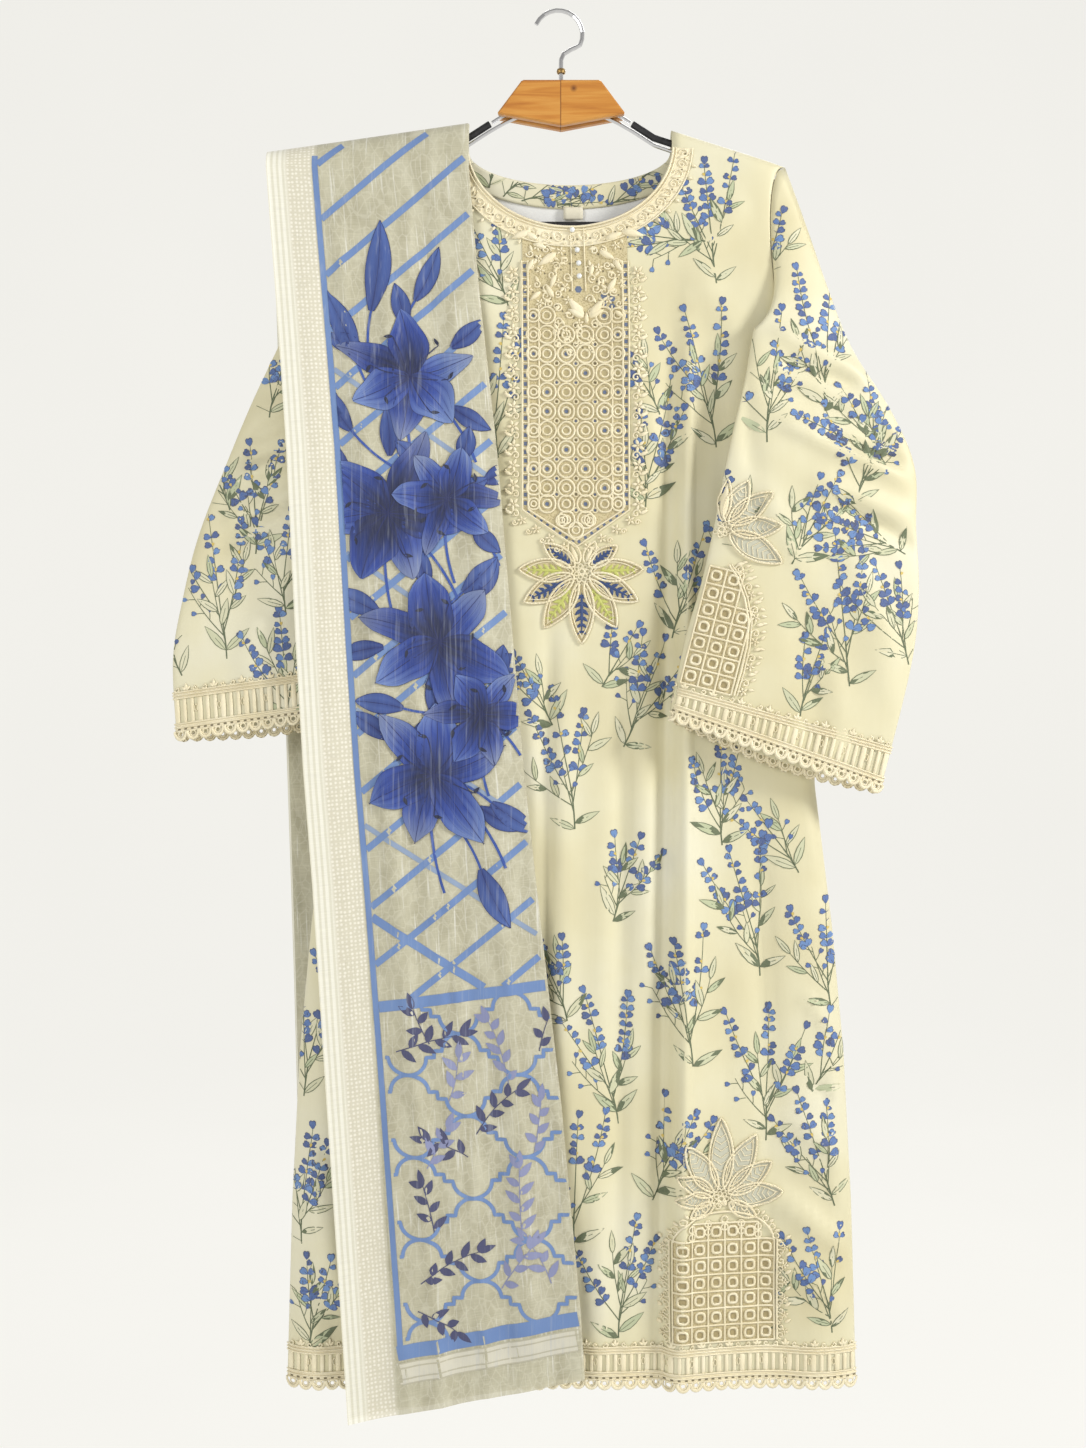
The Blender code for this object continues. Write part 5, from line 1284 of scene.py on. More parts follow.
def print_fall(face, rows, bottoms, lilies):
    """The printed pattern of one fall: trellis above a bar, an ogee lattice below it, and the bands."""
    ink = Ink(face)
    left, right = BORDER_IN, FALL_WIDTH - 0.001
    inner = left + 0.0052
    top_z, bar_left, bar_right, pitch = -0.128, -0.9145, -0.8955, 0.052

    def at(s, z):
        return fall_x(s, z, rows), z

    def end_z(s, above):
        return mix(*bottoms, s / FALL_WIDTH) + above

    def bar(s):
        return mix(bar_left, bar_right, (s - inner) / (right - inner))

    def cross(height, width, colour, rise, start=inner, kept=lambda s, z: True):
        """A line from side to side at a height that depends on the place."""
        route = []
        for i in range(FALL_STEPS + 1):
            s = mix(start, right, i / FALL_STEPS)
            if kept(s, height(s)):
                route.append(at(s, height(s)))
        if len(route) > 3:
            ink.line(route, width, colour, rise)

    ink.line([at(left + 0.0026, mix(top_z - 0.012, end_z(left, 0.062), i / 330)) for i in range(331)],
             0.0052, LINE_BLUE, OVER)
    for k in range(-3, 17):
        cross(lambda s: top_z - pitch * k + 0.80 * (s - inner) - 0.02, 0.0060, LINE_BLUE, OVER - 0.00006,
              kept=lambda s, z: bar(s) + 0.004 < z < ridge_z(fall_x(s, z, rows)) - 0.006)
    for k, width, colour in (
        (9, 0.0046, FAINT_BLUE), (11, 0.0046, FAINT_BLUE), (12.6, 0.0075, LINE_BLUE),
        (6.3, 0.0046, FAINT_BLUE), (3.1, 0.0046, FAINT_BLUE),
    ):
        cross(lambda s: top_z - pitch * k - 0.72 * (s - inner) - 0.05, width, colour, OVER - 0.00010,
              kept=lambda s, z: z > bar(s) + 0.004)
    cross(bar, 0.0100, LINE_BLUE, OVER)
    cell_side = lattice_side()
    for column in range(-1, 5):
        for r in range(7):
            s0 = inner + 0.020 + COLUMN_PITCH * column
            z0 = -0.9385 - 2 * HALF_PITCH * (r - 0.5) - (HALF_PITCH if column % 2 else 0.0)
            for side in (-1, 1):
                spots = [(s0 + side * u, z0 - (HALF_PITCH - v)) for u, v in cell_side]
                route = [
                    at(s, z) for s, z in spots if inner < s < right and end_z(s, 0.060) < z < bar(s) - 0.003
                ]
                if len(route) > 2:
                    ink.line(route, 0.0034, LINE_BLUE, OVER - 0.00004 * (side > 0))
    for s, z, heading, length, pale in TWIGS:
        if z > end_z(s, 0.070):
            twig(ink, *at(s, z), heading, length, SLATE_PALE if pale else SLATE)
    cross(lambda s: end_z(s, 0.0560), 0.0130, LINE_BLUE, OVER, left)
    cross(lambda s: end_z(s, 0.0370), 0.0200, rgb(232, 226, 200), UNDER, left)
    for offset in (0.0275, 0.0320, 0.0420, 0.0465):
        cross(lambda s: end_z(s, offset), 0.0011, THREAD, OVER, left)
    # The lilies stop at the border's line.
    ink.edge = lambda z: fall_x(inner, z, rows)
    for s, z, radius, _, _ in lilies:
        for bend in (-0.5, 0.6):
            route = bent_route(*at(s, z), radians(-70) + bend, radius * 1.5, -bend)
            ink.line(route, 0.0024, LILY_STEM, LILY_RISE - 0.0002)
    for i, (s, z, radius, turn, shade) in enumerate(lilies):
        for spread in (-0.9, 0.3, 1.2, 2.4):
            angle = turn + spread + rng.uniform(-0.2, 0.2)
            lily_bud(ink, *polar(*at(s, z), radius * 0.7, angle), angle, radius * 0.62, 0.0085, 0.20)
        lily(ink, *at(s, z), radius, turn, shade, i)
    return ink


def print_dupatta(front_face, back_face, finish):
    ink = print_fall(front_face, FRONT_FALL, FRONT_FALL_BOTTOM, FRONT_LILIES)
    for s, z, heading, length, width in LILY_BUDS:
        spot = fall_x(s, z, FRONT_FALL), z
        stem = bent_route(*spot, radians(heading + 180), 0.05, 0.4)
        ink.line(stem, 0.0022, LILY_STEM, LILY_RISE - 0.0002)
        lily_bud(ink, *spot, radians(heading), length, width, 0.35)
    ink.make("dupatta_print_front", finish, "dupatta")
    ink = print_fall(back_face, BACK_FALL, BACK_FALL_BOTTOM, BACK_LILIES)
    ink.make("dupatta_print_back", finish, "dupatta")


# Lace ---------------------------------------------------------------------------------------------------

BAND_HEIGHT, RAIL, BAR_PITCH = 0.030, 0.0055, 0.0072
SCALLOP_PITCH, SCALLOP_DROP, SLOT_PITCH, BUMP_PITCH = 0.0118, 0.0085, 0.0062, 0.026
CORD, CORD_RISE = 0.0008, 0.0011
# The dark eyelet and cell colours are painted shade inside the holes.
EYELET_SHADE, EYELET_BLUE = rgb(112, 100, 74), rgb(76, 98, 140)
RING_BEIGE, CELL_SHADE = rgb(186, 170, 126), rgb(170, 152, 108)
ARCH_PITCH, NECK_BAND = 0.0155, 0.0195
NET_RISE, LACE_RISE, HOLE_RISE = 0.00056, 0.0007, 0.0007
HEXAGON, PENTAGON = (0, 1.05, 2.09, 3.14, 4.19, 5.24), (0, 1.26, 2.51, 3.77, 5.03)


def straight(u0, v0, u1, v1, step=0.004):
    count = max(2, ceil(hypot(u1 - u0, v1 - v0) / step))
    return [(mix(u0, u1, i / count), mix(v0, v1, i / count)) for i in range(count + 1)]


def dot(u, v, radius, corners=HEXAGON):
    return [polar(u, v, radius, a) for a in corners]


def box(left, low, right, high):
    return [(left, low), (right, low), (right, high), (left, high)]


def on_panel(face, lowest=HEM_Z + 0.0015):
    """Places on a face by the kameez's own (x, z). Below lowest they hang on straight down."""
    def at(x, z, rise):
        found = face.at(x + suit_x(z), max(z, lowest), rise)
        if found is not None and z < lowest:
            found = (Vector((found[0].x, found[0].y, z)), found[1])
        return found
    return at


def along_cuff(grid, first, last, out_y):
    """Places on a sleeve's end by the distance along its edge and the height above it, and the length."""
    end, above = grid[-1], grid[-9]
    samples = 160
    spots, lengths = [], [0.0]
    for i in range(samples + 1):
        spot = mix(first, last, i / samples)
        a, b, t = int(spot) % len(end), (int(spot) + 1) % len(end), spot - int(spot)
        spots.append((end[a].lerp(end[b], t), above[a].lerp(above[b], t)))
    for (a, _), (b, _) in zip(spots, spots[1:]):
        lengths.append(lengths[-1] + (b - a).length)

    def at(s, h, rise):
        s = min(lengths[-1] - 1e-6, max(0.0, s))
        i = next(k for k in range(samples) if lengths[k + 1] >= s)
        t = (s - lengths[i]) / max(1e-9, lengths[i + 1] - lengths[i])
        edge = spots[i][0].lerp(spots[i + 1][0], t)
        up = (spots[i][1].lerp(spots[i + 1][1], t) - edge).normalized()
        normal = (spots[i + 1][0] - spots[i][0]).normalized().cross(up).normalized()
        if normal.y * out_y < 0:
            normal = -normal
        return edge + up * h + normal * (FABRIC / 2 + rise), normal
    return at, lengths[-1]


def lace_mesh(name, points, faces, finish, node=None, colours=None):
    """A piece of lace. It stands for the CAD node that is named."""
    piece = add_mesh(name, points, faces, finish, colours)
    if node:
        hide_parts(node)


def capped(start, count):
    """Faces of three closed rows of count points, the last of them filled."""
    return loop_faces(start, count, 3) + [tuple(range(start + 2 * count, start + 3 * count))]


def centre_of(outline):
    return sum(p[0] for p in outline) / len(outline), sum(p[1] for p in outline) / len(outline)


class Laid:
    """Raised cords, pads and beads laid on a cloth, gathered into one mesh."""

    def __init__(self, at, base=LACE_RISE):
        self.at, self.base = at, base
        self.points, self.faces = [], []

    def cord(self, route, half=CORD, height=CORD_RISE, closed=False):
        spots = [self.at(u, v, self.base) for u, v in route]
        if None in spots:
            return
        count, start = len(spots), len(self.points)
        for i, (point, normal) in enumerate(spots):
            before = spots[i - 1 if closed else max(i - 1, 0)][0]
            after = spots[(i + 1) % count if closed else min(i + 1, count - 1)][0]
            side = (after - before).cross(normal).normalized() * half
            middle = point + normal * height * 0.5
            self.points += [
                middle - side, middle + normal * height * 0.5, middle + side, middle - normal * height * 0.45,
            ]
        for i in range(count if closed else count - 1):
            a, b = start + 4 * i, start + 4 * ((i + 1) % count)
            self.faces += [(a + k, a + (k + 1) % 4, b + (k + 1) % 4, b + k) for k in range(4)]

    def pad(self, outline, height=0.0012):
        """A low raised shape, such as a satin-stitched leaf."""
        cu, cv = centre_of(outline)
        rows = [
            self.at(mix(cu, u, share), mix(cv, v, share), self.base + rise * height)
            for share, rise in ((1.0, 0.0), (0.82, 0.8), (0.35, 1.0)) for u, v in outline
        ]
        if None not in rows:
            self.faces += capped(len(self.points), len(outline))
            self.points += [spot[0] for spot in rows]

    def bead(self, u, v, radius, lift=0.0):
        found = self.at(u, v, self.base + lift)
        if found is None:
            return
        point, normal = found
        side = normal.orthogonal().normalized()
        other = normal.cross(side)
        start, steps = len(self.points), 8
        for turn in (-0.5, 0.35, 1.0):
            ring, up = radius * cos(turn), radius * (0.5 + sin(turn))
            for k in range(steps):
                a = 2 * pi * k / steps
                self.points.append(point + (side * cos(a) + other * sin(a)) * ring + normal * up)
        top = start + 2 * steps
        self.points.append(point + normal * radius * 1.5)
        self.faces += loop_faces(start, steps, 3)
        self.faces += [(top + k, top + (k + 1) % steps, top + steps) for k in range(steps)]

    def ring(self, u, v, radius, half=CORD, height=CORD_RISE, steps=16, squash=1.0, lobes=0.0, turn=0.0):
        route = []
        for k in range(steps):
            a = 2 * pi * k / steps
            r = radius * (1 + lobes * cos(4 * a))
            route.append((u + r * cos(a + turn), v + r * squash * sin(a + turn)))
        self.cord(route, half, height, closed=True)

    def curl(self, u, v, heading, radius, hand=1, turns=1.3):
        """A cord that rolls up to its middle."""
        self.cord([
            polar(u, v, radius * (1 - 0.82 * k / 16), radians(heading) + hand * 2 * pi * turns * k / 16)
            for k in range(17)
        ])

    def blossom(self, u, v, size, turn=0.3):
        for k in range(5):
            a = turn + 2 * pi * k / 5
            self.pad(turned(LEAF, *polar(u, v, 0.0006, a), a, size, size * 0.5))
        self.bead(u, v, 0.0009, 0.0008)

    def leaf(self, u, v, heading, length, wide=0.36, height=0.0013):
        self.pad(turned(LEAF, u, v, radians(heading), length, length * wide), height)

    def make(self, name, finish, node=None):
        lace_mesh(name, self.points, self.faces, finish, node)


def ground_sheet(name, at, grid, finish, node):
    """A thin sheet laid on the cloth under the cords, from rows of (u, v)."""
    points = [at(u, v, NET_RISE)[0] for line in grid for u, v in line]
    lace_mesh(name, points, cells(len(grid), len(grid[0])), finish, node)


def dark_fans(name, at, outlines, looks, colour, rise=HOLE_RISE):
    """Small flat shapes that stand for holes too small to cut. The dark fills are painted shade inside the
    holes.
    """
    points, faces = [], []
    for outline in outlines:
        spots = [at(u, v, rise) for u, v in outline]
        if None not in spots:
            faces.append(tuple(range(len(points), len(points) + len(spots))))
            points += [spot[0] for spot in spots]
    lace_mesh(name, points, faces, looks["ink"], colours=[colour] * len(points))


def band_lace(name, at, length, looks, height=BAND_HEIGHT, end_height=BAND_HEIGHT):
    """A ladder band: rails, satin bars, a row of slots, scallop loops past the edge and scrolls above it."""
    made = Laid(at, 0.0006)
    count = max(4, round(length / 0.004))
    marks = [length * i / count for i in range(count + 1)]

    def top(s):
        return mix(height, end_height, s / length)

    def row(h, from_top=False):
        return [(s, (top(s) if from_top else 0) + h) for s in marks]

    ground_sheet(name + "_top", at, [row(h, True) for h in (0.0004, -RAIL * 0.5, -RAIL)], looks["cord"], name)
    ground_sheet(name + "_rail", at, [row(h) for h in (RAIL * 1.35, RAIL * 0.6, 0.0003)], looks["cord"], name)
    for h in (0.0, -RAIL * 0.5, -RAIL):
        made.cord(row(h, True))
    for h in (RAIL * 1.35, RAIL * 0.75, 0.0006):
        made.cord(row(h))
    bars = round(length / BAR_PITCH)
    for i in range(bars):
        s = length * (i + 0.5) / bars
        half = 0.0016 if i % 3 else 0.0022
        high, low = top(s) - RAIL - 0.0006, RAIL * 1.35 + 0.0006
        middle = (high + low) / 2
        made.pad([
            (s - half, low), (s + half, low), (s + half * 1.1, middle), (s + half, high), (s - half, high),
            (s - half * 1.1, middle),
        ], 0.0011)
        between = s + length / bars / 2
        if i % 3 == 2 and between < length:
            made.ring(between, middle + 0.0012, 0.0014, 0.0005, steps=10, squash=2.2)
    scallops = round(length / SCALLOP_PITCH)
    pitch = length / scallops
    for i in range(scallops):
        s = pitch * (i + 0.5)
        angles = [pi * k / 10 for k in range(11)]
        loop = [(s + pitch * 0.46 * cos(a), 0.0004 - SCALLOP_DROP * 0.86 * sin(a)) for a in angles]
        made.cord(loop, 0.0017, 0.0022)
        made.ring(s, -0.0022, 0.0026, 0.0010, steps=10)
        for k in (-1, 0, 1):
            made.bead(s + pitch * 0.27 * k, -SCALLOP_DROP * (0.74 if k else 0.88), 0.0012)
    bumps = round(length / BUMP_PITCH)
    for i in range(bumps):
        s = length * (i + 0.5) / bumps
        for heading, size in ((90, 0.0068), (42, 0.0056), (138, 0.0056)):
            made.leaf(s, top(s) + 0.001, heading, size, 0.5)
        for side, heading in ((-1, 200), (1, -20)):
            made.curl(s + side * 0.0085, top(s) + 0.0026, heading, 0.0026, -side, 1.0)
    made.make(name + "_cords", looks["cord"], name)
    starts = [0.003 + SLOT_PITCH * i for i in range(round(length / SLOT_PITCH))]
    slots = [box(s, 0.0016, s + 0.0026, 0.0030) for s in starts if s + 0.003 < length]
    # The slots are filled with painted shade.
    dark_fans(name + "_slots", at, slots, looks, EYELET_SHADE)


def neck_spot(angle, offset, drop=FRONT_NECK_DROP):
    a = radians(angle)
    return (NECK_HALF_WIDTH + offset) * cos(a), NECK_CURVE_Z - (drop + offset) * sin(a)


def neck_lace(at, looks):
    """The band round the front neckline: corded edges with scrolls, satin leaves and little eyelets."""
    def arc(offset, first=177.5, last=2.5, count=110):
        return [neck_spot(mix(first, last, i / count), offset) for i in range(count + 1)]

    rows = [arc(o) for o in (0.0008, 0.005, 0.010, 0.015, NECK_BAND)]
    ground_sheet("neck_lace_ground", at, rows, looks["cord"], "neck_lace")
    made = Laid(at)
    made.cord(arc(0.0012), 0.0012, 0.0016)
    for offset in (0.0042, 0.0190):
        made.cord(arc(offset))
    holes = []
    for i in range(27):
        angle = mix(174, 6, i / 26)
        heading, hand = (-angle, 1) if i % 2 else (180 - angle, -1)
        made.curl(*neck_spot(angle, 0.0115), heading, 0.0048, hand, 1.25)
        between = mix(174, 6, min(1, (i + 0.5) / 26))
        made.leaf(*neck_spot(between, 0.0065), (28 if i % 2 else 152) - between, 0.0090, 0.40)
        made.bead(*neck_spot(between, 0.0165), 0.0011)
        holes.append(dot(*neck_spot(between, 0.0128), 0.0010, PENTAGON))
    for i in range(24):
        angle = mix(168, 12, i / 23)
        if not 70 < angle < 108:
            made.leaf(*neck_spot(angle, 0.0205), -angle, 0.0052, 0.55)
    made.make("neck_lace_cords", looks["cord"], "neck_lace")
    # The eyelets are filled with painted shade.
    dark_fans("neck_lace_eyelets", at, holes, looks, EYELET_SHADE, 0.0009)


RING_PITCH, YOKE_RAIL, YOKE_EDGE = 0.0176, 0.0462, 0.0565
# The raised leaves at the yoke's top: place, direction in degrees, and length. Places in metres.
YOKE_LEAVES = table("x z heading length", """
    -.036 -.206 200 .020, -.030 -.214 150 .015, -.013 -.226 215 .019, -.022 -.222 160 .013,
    -.034 -.232 240 .014, .026 -.224 -30 .017, .031 -.214 20 .018, .046 -.206 -12 .020, .040 -.232 -60 .014,
    .020 -.236 -100 .013, -.014 -.246 250 .013, .012 -.286 130 .022, .012 -.286 152 .016, .016 -.286 50 .020,
    .016 -.286 28 .015, .014 -.292 90 .010, -.016 -.268 120 .013, .034 -.262 60 .014, -.028 -.262 220 .012,
    .040 -.280 -40 .011""", 1)
PEARLS = ((0.0014, -0.2052), (0.0058, -0.2238), (0.0070, -0.2360), (0.0074, -0.2480))


def yoke_bottom(share):
    return mix(YOKE_POINT_Z, YOKE_SIDE_END_Z, abs(share))


def yoke_top(x):
    reach = NECK_HALF_WIDTH + NECK_BAND
    return NECK_CURVE_Z - (FRONT_NECK_DROP + NECK_BAND) * sqrt(1 - (x / reach) ** 2)


def double_ring(made, x, z, radius, inner, uneven=1.0, lobes=0.0, steps=12):
    made.ring(x, z, radius * uneven, 0.0010, 0.0015, squash=1.04, lobes=lobes)
    made.ring(x, z, radius * 0.5 * uneven, inner, 0.0013, steps)


def yoke_rings(made, dark, blue, beige):
    """Rows of double rings with a small ring between four of them."""
    for r in range(12):
        z = -0.2845 - RING_PITCH * r
        for c in (-2.5, -1.5, -0.5, 0.5, 1.5, 2.5):
            if r < 1 and abs(c) < 1.2:
                continue
            offset = copysign(YOKE_RAIL - 0.0075, c) if abs(c) > 2 else c * RING_PITCH
            x = YOKE_X + offset
            radius = 0.0062 if abs(c) > 2 else 0.0078
            room = z - yoke_bottom(abs(offset) / YOKE_RAIL * 0.78) - 0.0024
            if room < radius:
                # A row that reaches the slanted edge goes on with smaller rings, a little higher.
                radius, z = 0.0052, z + 0.0030
                room += 0.0030
            if room < radius:
                continue
            uneven = rng.uniform(0.94, 1.05)
            double_ring(made, x, z, radius, 0.0009, uneven, 0.03 * rng.uniform(-1, 1))
            (beige if rng.random() < 0.72 else blue).append(dot(x, z, radius * 0.26))
            hx, hz = x + RING_PITCH / 2, z + RING_PITCH / 2
            if abs(c) < 2 and abs(hx - YOKE_X) < 2 * RING_PITCH:
                made.ring(hx, hz, 0.0023, 0.0006, 0.0010, 8)
                (dark if rng.random() < 0.5 else blue).append(dot(hx, hz, 0.0012))


def yoke_side(made, blue, side):
    """One side of the yoke: a rail of eyelets between cords, and blossoms with scrolls outside it."""
    rail_x, edge_x, low = YOKE_X + side * YOKE_RAIL, YOKE_X + side * YOKE_EDGE, yoke_bottom(0.80)
    for gap in (-0.0028, 0.0028):
        x = YOKE_X + side * (YOKE_RAIL + gap)
        made.cord(straight(x, -0.2335, x, low), 0.0009, 0.0014)
        made.cord(straight(x, low, YOKE_X, YOKE_POINT_Z - gap * 1.1), 0.0009, 0.0014)
    x = YOKE_X + side * (YOKE_RAIL - 0.0125)
    made.cord(straight(x, -0.275, x, -0.455))
    for k in range(29):
        z = -0.2375 - 0.0078 * k
        if z > low + 0.002:
            blue.append(box(rail_x - 0.0014, z - 0.0026, rail_x + 0.0014, z + 0.0010))
            rung = straight(rail_x - 0.0024, z + 0.0028, rail_x + 0.0024, z + 0.0028, 0.0024)
            made.cord(rung, 0.0006, 0.0010)
    for k in range(8):
        t = (k + 0.5) / 8
        blue.append(dot(mix(rail_x, YOKE_X, t), mix(low, YOKE_POINT_Z, t), 0.0016))
    z = -0.244
    while z > -0.462:
        made.blossom(edge_x + side * 0.001, z, 0.0062, rng.uniform(0, 1.2))
        made.curl(edge_x - side * 0.0012, z - 0.0088, 90 - side * 90, 0.0040, side, 1.2)
        made.leaf(edge_x + side * 0.0022, z - 0.0088, 90 - side * 65, 0.0086, 0.46)
        made.bead(edge_x + side * 0.0078, z - 0.0045, 0.0012)
        z -= 0.0178
    for k in range(4):
        t = (k + 0.55) / 4.4
        x, z = mix(edge_x, YOKE_X, t), mix(-0.468, YOKE_POINT_Z - 0.010, t)
        made.blossom(x, z, 0.0046, rng.uniform(0, 1.2))
        made.curl(x + side * 0.007, z - 0.002, 0, 0.0028, side, 1.1)


def yoke_filling(made, dark):
    """Scrolls, leaves and blossoms strewn over the yoke's top, clear of one another and of the placket."""
    taken = list(PEARLS)
    for _ in range(900):
        x, z = YOKE_X + rng.uniform(-0.043, 0.043), rng.uniform(-0.318, -0.206)
        low = -0.274 if abs(x - YOKE_X) > 0.019 else -0.318
        near = min(hypot(x - u, z - v) for u, v in taken)
        if not low < z < yoke_top(x) - 0.003 or near < 0.0078 or abs(x - 0.006) < 0.009 and z > -0.270:
            continue
        taken.append((x, z))
        if len(taken) % 3:
            made.curl(x, z, rng.uniform(0, 360), rng.uniform(0.0036, 0.0050), rng.choice((-1, 1)))
            made.leaf(x + 0.002, z + 0.002, rng.uniform(0, 360), 0.0072, 0.42)
        else:
            made.blossom(x, z, 0.0042, rng.uniform(0, 1.2))
        dark.append(dot(x + 0.0042, z - 0.003, 0.0010))


def yoke_lace(at, looks):
    """The yoke: rows of double rings between eyelet rails, a leafy top, and floral edges."""
    shares = [c / 16 - 1 for c in range(33)]
    grid = []
    for r in range(71):
        places = [(YOKE_X + (YOKE_RAIL + 0.002) * share, yoke_bottom(share * 0.78)) for share in shares]
        grid.append([(x, mix(yoke_top(x), low, r / 70)) for x, low in places])
    ground_sheet("yoke_lace_ground", at, grid, looks["net"], "yoke_lace")
    made, pearls = Laid(at), Laid(at, 0.0008)
    dark, blue, beige = [], [], []
    yoke_rings(made, dark, blue, beige)
    for side in (-1, 1):
        yoke_side(made, blue, side)
    for across, up, radius in ((0, 0.0125, 0.0068), (-0.0128, 0.0215, 0.0052), (0.0128, 0.0215, 0.0052)):
        double_ring(made, YOKE_X + across, YOKE_POINT_Z + up, radius, 0.0008, steps=10)
    for x, z, heading, length in YOKE_LEAVES:
        made.leaf(x, z, heading, length * rng.uniform(1.0, 1.15), 0.38, 0.0024)
    yoke_filling(made, dark)
    for side in (-1, 1):
        made.cord(straight(0.0058 + side * 0.0062, -0.203, 0.0072 + side * 0.0062, -0.262), 0.0007, 0.0012)
    dark += [dot(0.0030 + 0.0006 * k, -0.2140 - 0.0068 * k, 0.0008) for k in range(6)]
    blue.append(dot(0.0066, -0.2600, 0.0034))
    for i in range(4):
        blue.append(dot(0.0300 + 0.0075 * (i % 2), -0.2660 - 0.0072 * (i // 2) - 0.003 * (i % 2), 0.0030))
    made.make("yoke_lace_cords", looks["cord"], "yoke_lace")
    for x, z in PEARLS:
        pearls.bead(x, z, 0.0026)
    pearls.make("neck_pearls", looks["pearl"])
    dark_fans("yoke_ring_middles", at, beige, looks, RING_BEIGE)
    # These eyelets are filled with painted shade.
    dark_fans("yoke_eyelets_dark", at, dark, looks, EYELET_SHADE)
    dark_fans("yoke_eyelets_blue", at, blue, looks, EYELET_BLUE)


def petal_shape(cx, cz, heading, reach, width, inset=0.0, start=0.008):
    """The outline of a flower's pointed petal."""
    side = []
    for k in range(17):
        t = k / 16
        half = width * sin(pi * t ** 0.85) ** 0.75 - inset * (0 < k < 16)
        side.append((mix(start + inset, reach - inset * 1.6, t), max(0.0, half)))
    return turned(side + [(u, -v) for u, v in side[-2:0:-1]], cx, cz, radians(heading), 1, 1)


def feather(into, cx, cz, angle, reach, width):
    """A stitched filling: a spine with short slanting leaves on both sides."""
    for k in range(6):
        size = width * (0.92 - 0.10 * abs(k - 1.5))
        foot = polar(cx, cz, reach * (0.32 + 0.10 * k), angle)
        for side in (-1, 1):
            into.pad(turned(LEAF, *foot, angle + side * 0.85, size, size * 0.46), 0.0008)
    into.pad(turned(LEAF, *polar(cx, cz, reach * 0.28, angle), angle, reach * 0.60, 0.0032), 0.0009)


def net_ribs(made, cx, cz, angle, reach, width):
    """Fine threads that slant out from a net petal's middle."""
    for k in range(7):
        t = 0.25 + 0.085 * k
        u, half = reach * t, width * 0.62 * sin(pi * t ** 0.85)
        for side in (-1, 1):
            tip = turned([(u + half * 0.7, side * half)], cx, cz, angle, 1, 1)[0]
            made.cord(straight(*polar(cx, cz, u, angle), *tip, 0.0035), 0.0004, 0.0006)


def stitched_flower(name, at, flower, looks, fillings, extra=()):
    """Petals with twisted cord outlines, beaded on the inside, over net or stitched fillings."""
    (cx, cz), petals = flower
    made = Laid(at)
    fills = {"navy": Laid(at), "green": Laid(at)}
    grounds = {"net": [], "cord": []}
    for (heading, reach), filling in zip(petals, fillings):
        width = 0.0098 * min(1.15, reach / 0.054)
        outline = petal_shape(cx, cz, heading, reach, width)
        made.cord(outline, 0.0011, 0.0017, closed=True)
        made.cord(petal_shape(cx, cz, heading, reach, width, 0.0024), 0.0006, 0.0010, closed=True)
        for (u, v), (w, z) in zip(outline, outline[1:] + outline[:1]):
            made.bead((u + w) / 2, (v + z) / 2, 0.0010, 0.0006)
        grounds["net" if filling == "net" else "cord"].append(outline)
        if filling in fills:
            feather(fills[filling], cx, cz, radians(heading), reach, width * 0.88)
        else:
            net_ribs(made, cx, cz, radians(heading), reach, width)
    for heading, reach in extra:
        made.cord(petal_shape(cx, cz, heading, reach, 0.0052), 0.0010, 0.0014, closed=True)
        made.leaf(*polar(cx, cz, 0.009, radians(heading)), heading, reach - 0.012, 0.24)
    for k in range(7):
        made.ring(*polar(cx, cz, 0.0052, 2 * pi * k / 7), 0.0019, 0.0007, steps=8)
    made.ring(cx, cz, 0.0026, 0.0010, steps=10)
    made.make(name + "_cords", looks["cord"], name)
    for key, laid in fills.items():
        if laid.faces:
            laid.make(name + "_" + key, looks[key])
    for kind, finish in (("net", "grey_net"), ("cord", "net")):
        points, faces = [], []
        for outline in grounds[kind]:
            cu, cv = centre_of(outline)
            rows = [
                at(mix(cu, u, share), mix(cv, v, share), NET_RISE)
                for share in (1.0, 0.6, 0.25) for u, v in outline
            ]
            if None not in rows:
                faces += capped(len(points), len(outline))
                points += [spot[0] for spot in rows]
        if faces:
            lace_mesh(name + "_" + kind, points, faces, looks[finish])


def arch_lace(name, at, foot, columns, rows, tilt, kept, looks):
    """A grid of corded cells with a ring in each, over net. Gives its cords, and its places by cell."""
    def place(i, j):
        return turned([(i * ARCH_PITCH, j * ARCH_PITCH)], *foot, tilt, 1, 1)[0]

    made = Laid(at)
    points, faces, holes = [], [], []
    for i in range(columns):
        for j in range(rows):
            if not kept(i, j):
                continue
            spots = [at(*place(i + a / 3, j + b / 3), NET_RISE) for b in range(4) for a in range(4)]
            if None in spots:
                continue
            faces += [tuple(len(points) + k for k in face) for face in cells(4, 4)]
            points += [spot[0] for spot in spots]
            edges = [((i, j), (i + 1, j)), ((i, j), (i, j + 1))]
            for a, b in ((1, 0), (0, 1)):
                if not (i + a < columns and j + b < rows and kept(i + a, j + b)):
                    edges.append(((i + a, j + b), (i + 1, j + 1)))
            for start, end in edges:
                made.cord(straight(*place(*start), *place(*end)), 0.0010, 0.0014)
            u, v = place(i + 0.5 + rng.uniform(-0.03, 0.03), j + 0.5 + rng.uniform(-0.03, 0.03))
            made.ring(u, v, 0.0043, 0.0013, 0.0018, lobes=-0.07, turn=tilt)
            holes.append(dot(u, v, 0.0024))
    lace_mesh(name + "_net", points, faces, looks["net"])
    # The cells' holes are filled with painted shade.
    dark_fans(name + "_holes", at, holes, looks, CELL_SHADE, 0.0008)
    return made, place


